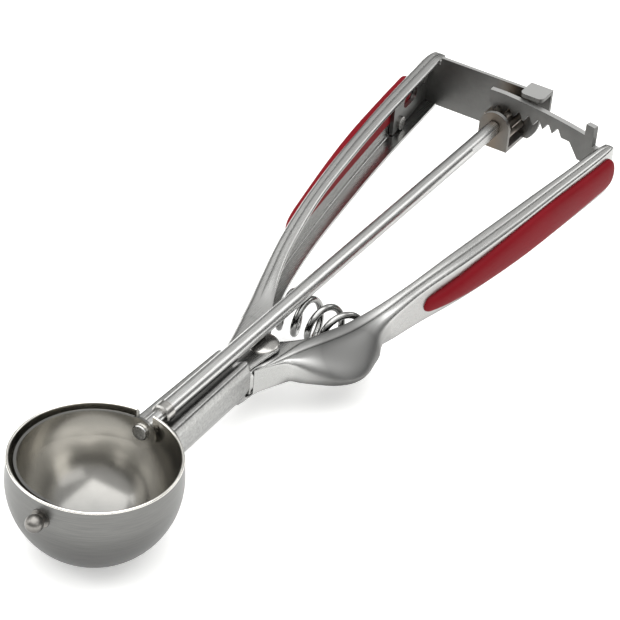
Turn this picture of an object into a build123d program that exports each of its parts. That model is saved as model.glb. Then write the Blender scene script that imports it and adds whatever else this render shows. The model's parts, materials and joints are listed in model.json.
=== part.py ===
from build123d import *
import math
import os

# Lever ice cream scoop. Millimetres.
# Origin: centre of the scraper's turning axis in the middle of the bowl.
# +X runs along the shaft to the handle ends, +Z is up (the bowl opens up),
# the fixed handle is on the +Y side and the squeezed lever on the -Y side.

# ---- bowl ----
BOWL_OUTER_R = 21.0
BOWL_WALL = 0.8
BOWL_CENTRE_DROP = 1.7
BOWL_RIM_Z = 4.8
BOWL_RIM_LEAN = 0.3
RIM_ROUND = 0.3
NOTCH_WIDTH = 4.6

# ---- scraper ----
BLADE_GAP = 0.9
BLADE_SHEET = 0.7
BLADE_WIDTH = 7.4
BLADE_HUB_R = 4.2
BLADE_TOE_R = 3.8
HEAD_ROUND = 0.6

# ---- front pin ----
PIN_SHOULDER_D = 4.8
PIN_SHANK_D = 2.4
PIN_BALL_D = 4.4
PIN_HEAD_D = 4.0
PIN_HEAD_HEIGHT = 0.8

# ---- shaft ----
SHAFT_D = 4.4
SHAFT_THIN_D = 3.2
SHAFT_TENON_D = 2.4
SHAFT_TENON_FLATS = 1.7
TENON_HEAD_D = 4.2
TENON_HEAD_HEIGHT = 0.8
COLLAR_D = 5.2
COLLAR_X = 26.4
COLLAR_LENGTH = 3.2
COLLAR_CHAMFER = 0.4
SHAFT_END_D = 3.0
SHAFT_FLAT_LENGTH = 16.0
SHAFT_FLAT_DEPTH = 0.5
RUNNING_FIT = 0.05

# ---- sheet and neck ----
SHEET = 1.0
NECK_HALF_FRONT = 6.6
NECK_HALF_REAR = 5.4
NECK_RIDGE_Z = -0.5
NECK_VALLEY_Z = -3.4
NECK_RIDGE_SHARE = 0.8
NECK_SHOULDER_Z = -3.4
NECK_WAIST_Z = -9.4
NECK_KEEL_SHARE = 0.62
NECK_ROUNDS = (2.4, 0.9, 1.6, 2.4, 1.6)
NECK_END_X = 59.0
NECK_SEAM = 1.2
SADDLE_REACH = 12.0
SADDLE_DROP = 1.0
SADDLE_BOTTOM_Z = -11.0
SADDLE_CORNER_R = 3.0
SADDLE_NOTCH_REACH = 6.0

# ---- hinge of the lever ----
HINGE_X = 70.5
HINGE_Y = -1.0
EAR_TOP_Z = -3.8
EAR_BOTTOM_Z = -13.8
EAR_R = 4.8
EAR_ROOT_X = 56.0
EAR_ROOT_Y = (-4.0, 4.6)
LEVER_EAR_R = 4.2
HINGE_RIVET_D = 4.0
RIVET_HEAD_D = 7.0
RIVET_HEAD_HEIGHT = 1.0
RIVET_HEAD_ROUND = 0.9
EAR_GAP = 0.35
LEVER_TRAVEL = 6.75

# ---- handles: outer line of the web and free line of the flanges, seen from above;
# ---- the rear points of each line are measured from the rack ----
FIXED_OUTER_FRONT = [(56, 5.2), (62, 6.0), (78, 10.4), (95, 15.2), (111, 19.2), (130, 22.4), (152, 25.4)]
FIXED_OUTER_REAR = [(-22, 28.2), (0, 30.1), (8, 30.5), (12, 28.9), (13, 26.6)]
FIXED_INNER_REAR = [(9.5, 25.3)]
FIXED_INNER_FRONT = [(172, 22.4), (150, 20.2), (127, 17.4), (107, 13.4), (95, 9.6), (86, 5.6), (76, 0.0)]
LEVER_OUTER_FRONT = [(60, -4.5), (66, -7.2), (75, -12.2), (87, -18.4), (98, -21.4), (112, -23.8),
                     (130, -28.0), (152, -31.6)]
LEVER_OUTER_REAR = [(-24, -34.4), (-6, -36.2), (-0.6, -36.0), (0.6, -34.6)]
LEVER_INNER_REAR = [(-2.5, -33.4)]
LEVER_INNER_FRONT = [(172, -29.9), (149, -26.4), (127, -22.6), (108, -18.6), (92, -13.6), (82, -8.6),
                     (74, -1.0)]

# ---- handles: upper and lower line seen from the side ----
HANDLE_RISE_FRONT = [(80, 0.0), (95, 1.4), (110, 3.8), (130, 6.8), (160, 9.4)]
HANDLE_RISE_REAR = [(-10, 11.0), (16, 12.0)]
LEVER_FALL_FRONT = [(80, 0.0), (100, 0.3), (130, 0.8), (160, 2.0)]
LEVER_FALL_REAR = [(-10, 3.6), (16, 4.8)]
FIXED_FALL_FRONT = [(80, 0.0), (100, 0.4), (130, 1.8), (160, 3.8)]
FIXED_FALL_REAR = [(-10, 5.6), (16, 6.6)]
HANDLE_LEVEL_START = 50.0
HANDLE_START_X = 57.0
EDGE_ROUND = 2.2
LONG_EDGE = 90.0
WEB_NEAR_Y = 16.0
WEB_FAR_Y = 45.0

# ---- finger lobe of the lever ----
LOBE_OUTLINE = [(74.2, -11.0), (72.9, -16.0), (72.8, -20.4), (74.6, -23.3), (78.4, -24.9), (83.0, -25.1),
                (89.0, -24.2), (96.0, -23.1), (105.0, -22.8)]
LOBE_INNER = [(105.0, -19.5), (92.0, -16.0), (80.0, -11.0)]
LOBE_RIM_Y = -18.0
LOBE_TOP_DROP = 1.6
LOBE_ROUND = 2.6

# ---- grips: front end from the scraper's axis, rear end from the rack ----
GRIP_PROUD = 2.2
GRIP_WINDOW_INSET = 1.6
GRIP_ROUND = 1.2
GRIP_FIXED_SPAN = (116.0, -2.0)
GRIP_LEVER_SPAN = (112.0, -1.5)
GRIP_TIP_R = 2.4
GRIP_HEEL_R = 4.5
GRIP_FIXED_LEVEL = (-3.1, 0.036)
GRIP_LEVER_LEVEL = (-7.0, 0.048)

# ---- rack and pinion ----
GEAR_MODULE = 1.05
PINION_TEETH = 8
PRESSURE_ANGLE = 30.0
ADDENDUM = 0.9
DEDENDUM = 1.15
BACKLASH = 0.4
MESH_PHASE = -0.2
RACK_RADIUS = 129.5
RACK_THICKNESS = 1.8
RACK_BACK = 4.2
RACK_TEETH = 8
RACK_ROOT = 22.2
RACK_ROOT_Z = -1.0
RACK_ROOT_SLANT = 4.2
RACK_TOP_FALL = 2.0
HOOK_START = 28.2
HOOK_HEIGHT = 1.8
HOOK_WIDTH = 3.0
RACK_FOOT_LENGTH = 10.0
RACK_TAB_BEHIND = 3.0
RACK_TAB_DROP = 3.0
RACK_RIVETS = [(3.5, 1.7), (10.5, 1.9)]

# ---- bracket that carries the pinion ----
BRACKET_SHEET = 1.2
LUG_AHEAD_OF_RACK = 4.6
PLATE_BEHIND_RACK = 6.4
PLATE_TOP_Z = 9.2
PLATE_STEP_Y = 24.6
LUG_R = 4.8
PLATE_END_R = 9.0
CAGE_GAP = 0.4
GUIDE_GAP = 0.4
GUIDE_START_Y = -4.4
GUIDE_WIDTH = 7.2
GUIDE_REACH = 6.2
GUIDE_CORNER_R = 1.6
BRACKET_TAB_LENGTH = 24.0
BRACKET_SLOT_LENGTH = 9.0
BRACKET_SLOT_D = 4.0
BRACKET_SLOT_AHEAD = 12.0
BRACKET_SLOT_Z = 0.3
BRACKET_RIVETS = [(3.6, 3.4), (18.4, -4.9)]
RACK_TAB_LENGTH = 15.0
TAB_MARGIN = 0.3
SHEET_RIVET_D = 2.4
SHEET_RIVET_HEAD_D = 4.0
SHEET_RIVET_HEAD_HEIGHT = 0.8
WASHER_D = 7.0
WASHER_THICKNESS = 0.8
SHAFT_PEEN_LENGTH = 0.9
WASHER_GAP = 0.3

# ---- spring ----
SPRING_X = 93.0
SPRING_WIRE = 1.5
SPRING_D = 8.6
SPRING_TURNS = 4.4
SPRING_CLOSED_TURNS = 0.4
SPRING_PHASE = 0.69
SPRING_STEPS = 16
SPRING_SEAT_GAP = 0.3
SPRING_SHAFT_GAP = 0.5

# ---- worked out from the sizes above ----
RACK_X = HINGE_X + RACK_RADIUS
FRONT_LUG_X = RACK_X - LUG_AHEAD_OF_RACK
PLATE_X = RACK_X + PLATE_BEHIND_RACK
BRACKET_SLOT_X = PLATE_X - BRACKET_SLOT_AHEAD
FIXED_OUTER = FIXED_OUTER_FRONT + [(RACK_X + x, y) for x, y in FIXED_OUTER_REAR]
FIXED_INNER = [(RACK_X + x, y) for x, y in FIXED_INNER_REAR] + FIXED_INNER_FRONT
LEVER_OUTER = LEVER_OUTER_FRONT + [(RACK_X + x, y) for x, y in LEVER_OUTER_REAR]
LEVER_INNER = [(RACK_X + x, y) for x, y in LEVER_INNER_REAR] + LEVER_INNER_FRONT
HANDLE_RISE = HANDLE_RISE_FRONT + [(RACK_X + x, z) for x, z in HANDLE_RISE_REAR]
LEVER_FALL = LEVER_FALL_FRONT + [(RACK_X + x, z) for x, z in LEVER_FALL_REAR]
FIXED_FALL = FIXED_FALL_FRONT + [(RACK_X + x, z) for x, z in FIXED_FALL_REAR]
FIXED_SPAN = (GRIP_FIXED_SPAN[0], RACK_X + GRIP_FIXED_SPAN[1])
LEVER_SPAN = (GRIP_LEVER_SPAN[0], RACK_X + GRIP_LEVER_SPAN[1])
BOWL_INNER_R = BOWL_OUTER_R - BOWL_WALL
BLADE_R = math.sqrt(BOWL_INNER_R ** 2 - BOWL_CENTRE_DROP ** 2) - BLADE_GAP
PITCH_R = GEAR_MODULE * PINION_TEETH / 2
TOOTH_PITCH = math.pi * GEAR_MODULE
PINION_TIP_R = PITCH_R + ADDENDUM * GEAR_MODULE
RACK_TIP_Z = PITCH_R - ADDENDUM * GEAR_MODULE
RACK_VALLEY_Z = PITCH_R + DEDENDUM * GEAR_MODULE
RACK_TOP_Z = RACK_VALLEY_Z + RACK_BACK
MESH_ANGLE = math.asin(-HINGE_Y / RACK_RADIUS)
MESH_X = HINGE_X + RACK_RADIUS * math.cos(MESH_ANGLE)
PINION_X0 = FRONT_LUG_X + BRACKET_SHEET + CAGE_GAP
PINION_X1 = PLATE_X - CAGE_GAP
PLATE_BOTTOM_Z = -PINION_TIP_R - CAGE_GAP - BRACKET_SHEET
FIXED_TOP_Z = EAR_TOP_Z
FIXED_BOTTOM_Z = EAR_BOTTOM_Z
LEVER_TOP_Z = EAR_TOP_Z - SHEET - EAR_GAP
LEVER_BOTTOM_Z = EAR_BOTTOM_Z + SHEET + EAR_GAP
SPRING_Z = -SHAFT_D / 2 - SPRING_SHAFT_GAP - SPRING_WIRE / 2 - SPRING_D / 2
HOOK_END = HOOK_START + HOOK_WIDTH
FAR = 400.0
SEAM_ANGLE = 75.0


def x_rod(radius, x0, x1):
    """Round bar along the shaft axis from x0 to x1."""
    bar = Cylinder(radius, x1 - x0, rotation=(0, 90, 0))
    return Pos((x0 + x1) / 2, 0, 0) * bar


def z_rod(radius, x, y, z0, z1):
    """Round bar parallel to the hinge axis."""
    return Pos(x, y, (z0 + z1) / 2) * Cylinder(radius, z1 - z0)


def block(x0, x1, y0, y1, z0, z1):
    """Box between two corners."""
    return Pos((x0 + x1) / 2, (y0 + y1) / 2, (z0 + z1) / 2) * Box(x1 - x0, y1 - y0, z1 - z0)


def layer(z0, z1):
    """All of the space between two heights."""
    return block(-FAR, FAR, -FAR, FAR, z0, z1)


def half_space(side):
    """All of the space on the +Y or -Y side."""
    y0, y1 = sorted((0, side * FAR))
    return block(-FAR, FAR, y0, y1, -FAR, FAR)


def upright(outline):
    """Tall prism over a closed outline seen from above."""
    return Pos(0, 0, -FAR / 2) * extrude(make_face(outline), FAR, dir=(0, 0, 1))


def sideways(outline):
    """Wide prism over a closed outline seen from the side."""
    return Pos(0, -FAR / 2, 0) * extrude(make_face(Plane.XZ * outline), FAR, dir=(0, 1, 0))


def shifted(points, distance):
    """Points moved sideways, to the left of the direction of travel."""
    moved = []
    last = len(points) - 1
    for i, (x, y) in enumerate(points):
        xa, ya = points[max(i - 1, 0)]
        xb, yb = points[min(i + 1, last)]
        length = math.hypot(xb - xa, yb - ya)
        moved.append((x - (yb - ya) / length * distance, y + (xb - xa) / length * distance))
    return moved


# ---------------------------------------------------------------- bowl
def bowl_form(grow):
    """Solid of revolution with the bowl's outside shape, grown by some distance."""
    radius = BOWL_OUTER_R + grow
    centre = -BOWL_CENTRE_DROP
    bottom = (0, centre - radius)
    corner = (radius * math.sin(math.pi / 4), centre - radius * math.cos(math.pi / 4))
    side = (radius, centre)
    rim = (radius - BOWL_RIM_LEAN, BOWL_RIM_Z)
    outline = Curve() + ThreePointArc(bottom, corner, side) + Polyline(side, rim, (0, BOWL_RIM_Z), bottom)
    return Rot(0, 0, SEAM_ANGLE) * revolve(Plane.XZ * make_face(outline), Axis.Z)


def notch_cut():
    """Open slot in the rim through which the shaft reaches the scraper."""
    half = NOTCH_WIDTH / 2
    reach = 2 * BOWL_OUTER_R
    return x_rod(half, 0, reach) + block(0, reach, -half, half, 0, FAR)


def make_bowl():
    """Thin spun bowl with a notch for the shaft and a hole for the front pin."""
    bowl = bowl_form(0) - bowl_form(-BOWL_WALL)
    rim = bowl.edges().filter_by(GeomType.CIRCLE).sort_by(Axis.Z)[-2:]
    bowl = fillet(rim, RIM_ROUND)
    bowl -= notch_cut()
    bowl -= x_rod(PIN_SHOULDER_D / 2 + RUNNING_FIT, -2 * BOWL_OUTER_R, 0)
    return bowl


# ---------------------------------------------------------------- scraper and its shaft
def make_scraper():
    """Spherical band from the front pin to the shaft, resting just inside the rim."""
    shell = Sphere(BLADE_R) - Sphere(BLADE_R - BLADE_SHEET)
    half = BLADE_WIDTH / 2
    band = block(-BLADE_R, BLADE_R, 0, BLADE_R, -half, half)
    hub = x_rod(BLADE_HUB_R, 0, BLADE_R)
    toe = x_rod(BLADE_TOE_R, -BLADE_R, 0)
    scraper = shell & (band + hub + toe)
    scraper -= tenon(0, BLADE_R)
    scraper -= x_rod(PIN_SHANK_D / 2, -BLADE_R, 0)
    return scraper


def tenon(x0, x1):
    """Double-D end of the shaft that turns the scraper."""
    flats = block(x0, x1, -SHAFT_TENON_D, SHAFT_TENON_D, -SHAFT_TENON_FLATS / 2, SHAFT_TENON_FLATS / 2)
    return x_rod(SHAFT_TENON_D / 2, x0, x1) & flats


def make_shaft():
    """Stepped bar with a double-D front end, flats by the pinion and a peened rear end."""
    seat = BLADE_R
    inner = math.sqrt((BLADE_R - BLADE_SHEET) ** 2 - (TENON_HEAD_D / 2) ** 2)
    shaft = x_rod(SHAFT_THIN_D / 2, seat, COLLAR_X + COLLAR_LENGTH)
    shaft += x_rod(SHAFT_D / 2, COLLAR_X + COLLAR_LENGTH, FRONT_LUG_X - CAGE_GAP)
    shaft += x_rod(SHAFT_END_D / 2, FRONT_LUG_X - CAGE_GAP, shaft_end_x())
    shaft += tenon(inner, seat)
    flat_x = FRONT_LUG_X - CAGE_GAP - SHAFT_FLAT_LENGTH
    flat = SHAFT_D / 2 - SHAFT_FLAT_DEPTH
    shaft -= block(flat_x, FRONT_LUG_X - CAGE_GAP, -SHAFT_D, -flat, -SHAFT_D, SHAFT_D)
    shaft -= block(flat_x, FRONT_LUG_X - CAGE_GAP, flat, SHAFT_D, -SHAFT_D, SHAFT_D)
    head = x_rod(TENON_HEAD_D / 2, inner - TENON_HEAD_HEIGHT, inner)
    head = fillet(head.edges().filter_by(GeomType.CIRCLE).sort_by(Axis.X)[0], TENON_HEAD_HEIGHT * HEAD_ROUND)
    return shaft + head


def shaft_end_x():
    """Rear end of the shaft, behind the plate and the washer."""
    return PLATE_X + BRACKET_SHEET + WASHER_GAP + WASHER_THICKNESS + SHAFT_PEEN_LENGTH


def make_shaft_collar():
    """Ring on the thin front of the shaft, just behind the bowl."""
    collar = x_rod(COLLAR_D / 2, COLLAR_X, COLLAR_X + COLLAR_LENGTH)
    collar = chamfer(collar.edges().filter_by(GeomType.CIRCLE), COLLAR_CHAMFER)
    return collar - x_rod(SHAFT_THIN_D / 2, COLLAR_X, COLLAR_X + COLLAR_LENGTH)


def make_front_pin():
    """Pivot of the scraper at the front: shoulder in the wall, ball outside, head inside."""
    inner = -math.sqrt((BLADE_R - BLADE_SHEET) ** 2 - (PIN_HEAD_D / 2) ** 2)
    pin = x_rod(PIN_SHANK_D / 2, -BLADE_R, inner)
    pin += x_rod(PIN_SHOULDER_D / 2, -BOWL_OUTER_R, -BLADE_R)
    ball_x = -BOWL_OUTER_R - PIN_BALL_D / 2
    pin += x_rod(PIN_SHANK_D / 2, ball_x, -BOWL_OUTER_R)
    pin += Pos(ball_x, 0, 0) * Sphere(PIN_BALL_D / 2)
    head = x_rod(PIN_HEAD_D / 2, inner, inner + PIN_HEAD_HEIGHT)
    head = fillet(head.edges().filter_by(GeomType.CIRCLE).sort_by(Axis.X)[-1], PIN_HEAD_HEIGHT * HEAD_ROUND)
    return pin + head


# ---------------------------------------------------------------- handles
def side_form(level_top, level_bottom, inset, fall):
    """Slab whose upper and lower faces follow a handle's side lines."""
    top = [(x, level_top + dz - inset) for x, dz in HANDLE_RISE]
    bottom = [(x, level_bottom + dz + inset) for x, dz in fall]
    start = HANDLE_LEVEL_START
    upper = Line((start, top[0][1]), top[0]) + Spline(*top, tangents=[(1, 0), (1, 0.03)])
    lower = Line((start, bottom[0][1]), bottom[0]) + Spline(*bottom, tangents=[(1, 0), (1, 0.03)])
    ends = Line((start, top[0][1]), (start, bottom[0][1])) + Line(top[-1], bottom[-1])
    return sideways(upper + lower + ends)


def strip_form(outer, inner, web_shift, free_shift):
    """Upright slab between the web line and the free line of a handle."""
    web = shifted(outer, web_shift)
    free = shifted(inner, free_shift)
    outline = Spline(*web) + Line(web[-1], free[0]) + Spline(*free) + Line(free[-1], web[0])
    return upright(outline)


def ear_form(radius, front_x, y0, y1):
    """Upright slab round the hinge, drawn out to the neck."""
    eye = Pos(HINGE_X, HINGE_Y) * Circle(radius)
    hull = make_hull(eye.edges() + Line((front_x, y0), (front_x, y1)).edges())
    return Pos(0, 0, -FAR / 2) * extrude(hull, FAR, dir=(0, 0, 1))


def long_edges(solid, side):
    """The two long outer edges of a handle, on its +Y or -Y side."""
    edges = [e for e in solid.edges() if e.length > LONG_EDGE]
    edges.sort(key=lambda e: side * (e @ 0.5).Y)
    return edges[-2:]


def grip_leaf(span, level, inset):
    """Leaf outline of a grip as a bar along Y, smaller by inset."""
    z0, slope = level
    discs = []
    for x, radius in ((span[0] + GRIP_TIP_R, GRIP_TIP_R), (span[1] - GRIP_HEEL_R, GRIP_HEEL_R)):
        discs += (Pos(x, z0 + (x - span[0]) * slope) * Circle(radius - inset)).edges()
    return Pos(0, -FAR / 2, 0) * extrude(Plane.XZ * make_hull(discs), FAR, dir=(0, 1, 0))


def inside_form(outer, shift, far_y):
    """Everything on the open side of a handle's web."""
    web = shifted(outer, shift)
    x0, x1 = web[0][0], web[-1][0]
    return upright(Spline(*web) + Polyline(web[-1], (x1, far_y), (x0, far_y), web[0]))


def fixed_inside(shift, inset):
    """Space inside the fixed handle, off its web and flanges."""
    side = side_form(FIXED_TOP_Z, FIXED_BOTTOM_Z, inset, FIXED_FALL)
    space = inside_form(FIXED_OUTER, -shift, -FAR / 4) & side
    return space & block(NECK_END_X, FAR, -FAR, FAR, -FAR, FAR)


def lever_inside(shift, inset):
    """Space inside the lever, off its web and flanges."""
    side = side_form(LEVER_TOP_Z, LEVER_BOTTOM_Z, inset, LEVER_FALL)
    return inside_form(LEVER_OUTER, shift, FAR / 4) & side


def fixed_form(web_shift, free_shift, inset):
    """Outside shape of the fixed handle, filled."""
    side = side_form(FIXED_TOP_Z, FIXED_BOTTOM_Z, inset, FIXED_FALL)
    return strip_form(FIXED_OUTER, FIXED_INNER, web_shift, free_shift) & side


def lever_form(web_shift, free_shift, inset):
    """Outside shape of the lever, filled."""
    side = side_form(LEVER_TOP_Z, LEVER_BOTTOM_Z, inset, LEVER_FALL)
    return strip_form(LEVER_OUTER, LEVER_INNER, web_shift, free_shift) & side


def neck_face(x, half, inset):
    """Cross-section of the neck: a closed trough with a valley for the shaft."""
    points = [(0, NECK_VALLEY_Z), (half * NECK_RIDGE_SHARE, NECK_RIDGE_Z), (half, NECK_SHOULDER_Z),
              (half, NECK_WAIST_Z), (half * NECK_KEEL_SHARE, EAR_BOTTOM_Z)]
    mirrored = [(-y, z) for y, z in reversed(points[1:])]
    section = make_face(Polyline(*points, *mirrored, close=True))
    if inset:
        section = offset(section, -inset, kind=Kind.INTERSECTION)
    else:
        for (y, z), radius in zip(points, NECK_ROUNDS):
            corners = [v for v in section.vertices() if math.hypot(abs(v.X) - y, v.Y - z) < 0.01]
            section = fillet(corners, radius)
    return Plane(origin=(x, 0, 0), x_dir=(0, 1, 0), z_dir=(1, 0, 0)) * section


def neck_form(inset):
    """Tapered neck, smaller all round by inset."""
    front = neck_face(0, NECK_HALF_FRONT, inset)
    rear = neck_face(NECK_END_X, NECK_HALF_REAR, inset)
    return loft([front, rear])


def saddle_form():
    """Flange that wraps the bowl on both sides of the neck."""
    shell = bowl_form(SHEET) - bowl_form(0)
    top = BOWL_RIM_Z - SADDLE_DROP
    outline = RectangleRounded(2 * SADDLE_REACH, top - SADDLE_BOTTOM_Z, SADDLE_CORNER_R)
    plane = Plane(origin=(0, 0, (top + SADDLE_BOTTOM_Z) / 2), x_dir=(0, 1, 0), z_dir=(1, 0, 0))
    return shell & extrude(plane * outline, 2 * BOWL_OUTER_R)


def make_fixed_handle():
    """One stamping: saddle on the bowl, neck, two ears and the fixed handle."""
    outer = fixed_form(0, 0, 0)
    outer = fillet(long_edges(outer, 1), EDGE_ROUND)
    outer &= block(HANDLE_START_X, FAR, -FAR, FAR, -FAR, FAR)
    ears = ear_form(EAR_R, EAR_ROOT_X, *EAR_ROOT_Y) & layer(EAR_BOTTOM_Z, EAR_TOP_Z)
    handle = outer + ears + neck_form(0) - bowl_form(SHEET / 2)
    handle = handle - fixed_inside(SHEET, SHEET) - neck_form(SHEET)
    handle += saddle_form()
    handle -= notch_cut() & block(0, BOWL_OUTER_R + SADDLE_NOTCH_REACH, -FAR, FAR, -FAR, FAR)
    seam = NECK_SEAM / 2
    handle -= block(BOWL_OUTER_R, NECK_END_X + 1, -seam, seam, -FAR, EAR_BOTTOM_Z + 2 * SHEET)
    handle -= z_rod(HINGE_RIVET_D / 2, HINGE_X, HINGE_Y, EAR_BOTTOM_Z - 1, EAR_TOP_Z + 1)
    handle -= grip_leaf(FIXED_SPAN, GRIP_FIXED_LEVEL, GRIP_WINDOW_INSET) & half_space(1)
    return handle - y_bars(bracket_rivet_spots(), 1, SHEET_RIVET_D / 2)


# ---------------------------------------------------------------- lever
def lobe_form(inset):
    """Finger stop bulging from the lever near the hinge."""
    line = shifted(LOBE_OUTLINE, inset)
    outline = Spline(*line) + Polyline(line[-1], *LOBE_INNER, line[0])
    top = LEVER_TOP_Z - LOBE_TOP_DROP
    return upright(outline) & side_form(top, LEVER_BOTTOM_Z, inset, LEVER_FALL)


def make_lever():
    """Channel that turns on the hinge rivet between the two ears."""
    outer = lever_form(0, 0, 0)
    outer = fillet(long_edges(outer, -1), EDGE_ROUND)
    lobe = lobe_form(0)
    rim = [e for e in lobe.edges() if e.center().Y < LOBE_RIM_Y and abs(e.tangent_at(0.5).Z) < 0.5]
    lobe = fillet(rim, LOBE_ROUND)
    x0, y0 = LEVER_OUTER[0]
    ears = ear_form(LEVER_EAR_R, x0, y0, HINGE_Y) & layer(LEVER_BOTTOM_Z, LEVER_TOP_Z)
    lever = outer + ears + lobe
    lever = lever - lever_inside(SHEET, SHEET) - lobe_form(SHEET)
    pivot = HINGE_RIVET_D / 2 + RUNNING_FIT
    lever -= z_rod(pivot, HINGE_X, HINGE_Y, EAR_BOTTOM_Z, EAR_TOP_Z)
    lever -= grip_leaf(LEVER_SPAN, GRIP_LEVER_LEVEL, GRIP_WINDOW_INSET) & half_space(-1)
    return lever - y_bars(rack_rivet_spots(), -1, SHEET_RIVET_D / 2)


def make_grip(form, inside, proud, span, level, side):
    """Leaf-shaped pad proud of the web, with a core that fills the web's window."""
    base = form(0, 0, 0)
    near = half_space(side)
    pad = (form(proud, 0, 0) - base) & grip_leaf(span, level, 0) & near
    face = sorted(pad.faces().sort_by(SortBy.AREA)[-2:], key=lambda f: side * f.center().Y)[-1]
    pad = fillet(face.edges(), GRIP_ROUND)
    core = (base - inside(SHEET, SHEET)) & grip_leaf(span, level, GRIP_WINDOW_INSET) & near
    return pad + core


def make_fixed_grip():
    """Grip of the fixed handle, for the palm."""
    return make_grip(fixed_form, fixed_inside, GRIP_PROUD, FIXED_SPAN, GRIP_FIXED_LEVEL, 1)


def make_lever_grip():
    """Grip of the lever, for the fingers."""
    return make_grip(lever_form, lever_inside, -GRIP_PROUD, LEVER_SPAN, GRIP_LEVER_LEVEL, -1)


def make_hinge_rivet():
    """Rivet through both ears, with a domed head above and below."""
    rivet = z_rod(HINGE_RIVET_D / 2, HINGE_X, HINGE_Y, EAR_BOTTOM_Z, EAR_TOP_Z)
    for level, side in ((EAR_TOP_Z, 1), (EAR_BOTTOM_Z, -1)):
        z0, z1 = sorted((level, level + side * RIVET_HEAD_HEIGHT))
        head = z_rod(RIVET_HEAD_D / 2, HINGE_X, HINGE_Y, z0, z1)
        rim = head.edges().filter_by(GeomType.CIRCLE).sort_by(Axis.Z)[-1 if side > 0 else 0]
        rivet += fillet(rim, RIVET_HEAD_HEIGHT * RIVET_HEAD_ROUND)
    return rivet


# ---------------------------------------------------------------- rack and pinion
def rack_plane(u):
    """Plane across the rack at arc length u from the pinion; +u turns towards the fixed handle."""
    a = MESH_ANGLE + u / RACK_RADIUS
    out = (math.cos(a), math.sin(a), 0)
    centre = (HINGE_X + RACK_RADIUS * out[0], HINGE_Y + RACK_RADIUS * out[1], 0)
    return Plane(origin=centre, x_dir=(-out[1], out[0], 0), z_dir=out)


def rack_sector(u0, u1, z0, z1):
    """Piece of a ring round the hinge."""
    def at(u, radius):
        a = MESH_ANGLE + u / RACK_RADIUS
        return (HINGE_X + radius * math.cos(a), HINGE_Y + radius * math.sin(a))
    r0 = RACK_RADIUS - RACK_THICKNESS / 2
    r1 = RACK_RADIUS + RACK_THICKNESS / 2
    mid = (u0 + u1) / 2
    outline = ThreePointArc(at(u0, r0), at(mid, r0), at(u1, r0)) + Line(at(u1, r0), at(u1, r1))
    outline += ThreePointArc(at(u1, r1), at(mid, r1), at(u0, r1)) + Line(at(u0, r1), at(u0, r0))
    return Pos(0, 0, z0) * extrude(make_face(outline), z1 - z0, dir=(0, 0, 1))


def rack_space():
    """Gap between two rack teeth, cut across the strip."""
    slope = math.tan(math.radians(PRESSURE_ANGLE))
    half = TOOTH_PITCH / 4 + BACKLASH / 2
    low = RACK_TIP_Z - 1
    wide = half + (PITCH_R - low) * slope
    narrow = half - (RACK_VALLEY_Z - PITCH_R) * slope
    outline = Polyline((-wide, low), (wide, low), (narrow, RACK_VALLEY_Z),
                       (-narrow, RACK_VALLEY_Z), close=True)
    return extrude(make_face(outline), 2 * RACK_THICKNESS, both=True)


def make_rack():
    """Toothed strip on an arc round the hinge, with a stop hook and a foot riveted into the lever."""
    first_space = MESH_PHASE + 1.5
    rack = rack_sector(-HOOK_END, TOOTH_PITCH * first_space, RACK_TIP_Z, RACK_TOP_Z)
    for i in range(RACK_TEETH):
        rack -= rack_plane((first_space - i) * TOOTH_PITCH) * rack_space()
    top = Polyline((0, RACK_TOP_Z), (-HOOK_END, RACK_TOP_Z - RACK_TOP_FALL),
                   (-HOOK_END, FAR), (0, FAR), close=True)
    rack -= extrude(Plane.YZ * make_face(top), FAR, dir=(1, 0, 0))
    rack += rack_sector(-HOOK_END, -HOOK_START, RACK_TIP_Z, RACK_TOP_Z + HOOK_HEIGHT)
    root = rack_sector(-HOOK_END, -RACK_ROOT, RACK_ROOT_Z, RACK_VALLEY_Z) - rack_root_slant()
    foot = rack_sector(-HOOK_END - RACK_FOOT_LENGTH, -HOOK_END + 1, RACK_ROOT_Z, RACK_VALLEY_Z)
    rack += root + (foot & lever_inside(SHEET, SHEET))
    x1 = rack_foot_x()
    margin = SHEET + TAB_MARGIN
    tab = lever_inside(SHEET, margin) - lever_inside(SHEET + BRACKET_SHEET, margin)
    tab &= block(x1 - RACK_TAB_LENGTH, x1, -FAR, 0, RACK_ROOT_Z - RACK_TAB_DROP, FAR)
    return rack + tab - y_bars(rack_rivet_spots(), -1, SHEET_RIVET_D / 2)


def rack_root_slant():
    """Space under the slanted inner end of the rack's root."""
    y0 = -RACK_ROOT
    y1 = -RACK_ROOT - RACK_ROOT_SLANT
    outline = Polyline((y0 + 1, RACK_VALLEY_Z), (y0, RACK_VALLEY_Z - 1), (y1, RACK_ROOT_Z),
                       (y1, -FAR), (y0 + 1, -FAR), close=True)
    return extrude(Plane.YZ * make_face(outline), FAR, dir=(1, 0, 0))


def rack_foot_x():
    """Rear end of the rack's tab on the lever."""
    return rack_plane(-HOOK_END - RACK_TAB_BEHIND).origin.X + RACK_THICKNESS / 2


def y_bars(spots, side, radius):
    """Round bars along Y through the web on one side."""
    y0, y1 = sorted((side * WEB_NEAR_Y, side * WEB_FAR_Y))
    bars = Part()
    for x, z in spots:
        bars += Pos(x, (y0 + y1) / 2, z) * Cylinder(radius, y1 - y0, rotation=(90, 0, 0))
    return bars


def rack_rivet_spots():
    """Places of the rack's rivets, seen from the side: front one first."""
    x = rack_foot_x() - RACK_TAB_LENGTH
    return [(x + dx, z) for dx, z in RACK_RIVETS]


def bracket_rivet_spots():
    """Places of the bracket's rivets, seen from the side: rear one first."""
    return [(PLATE_X - dx, z) for dx, z in BRACKET_RIVETS]


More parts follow.
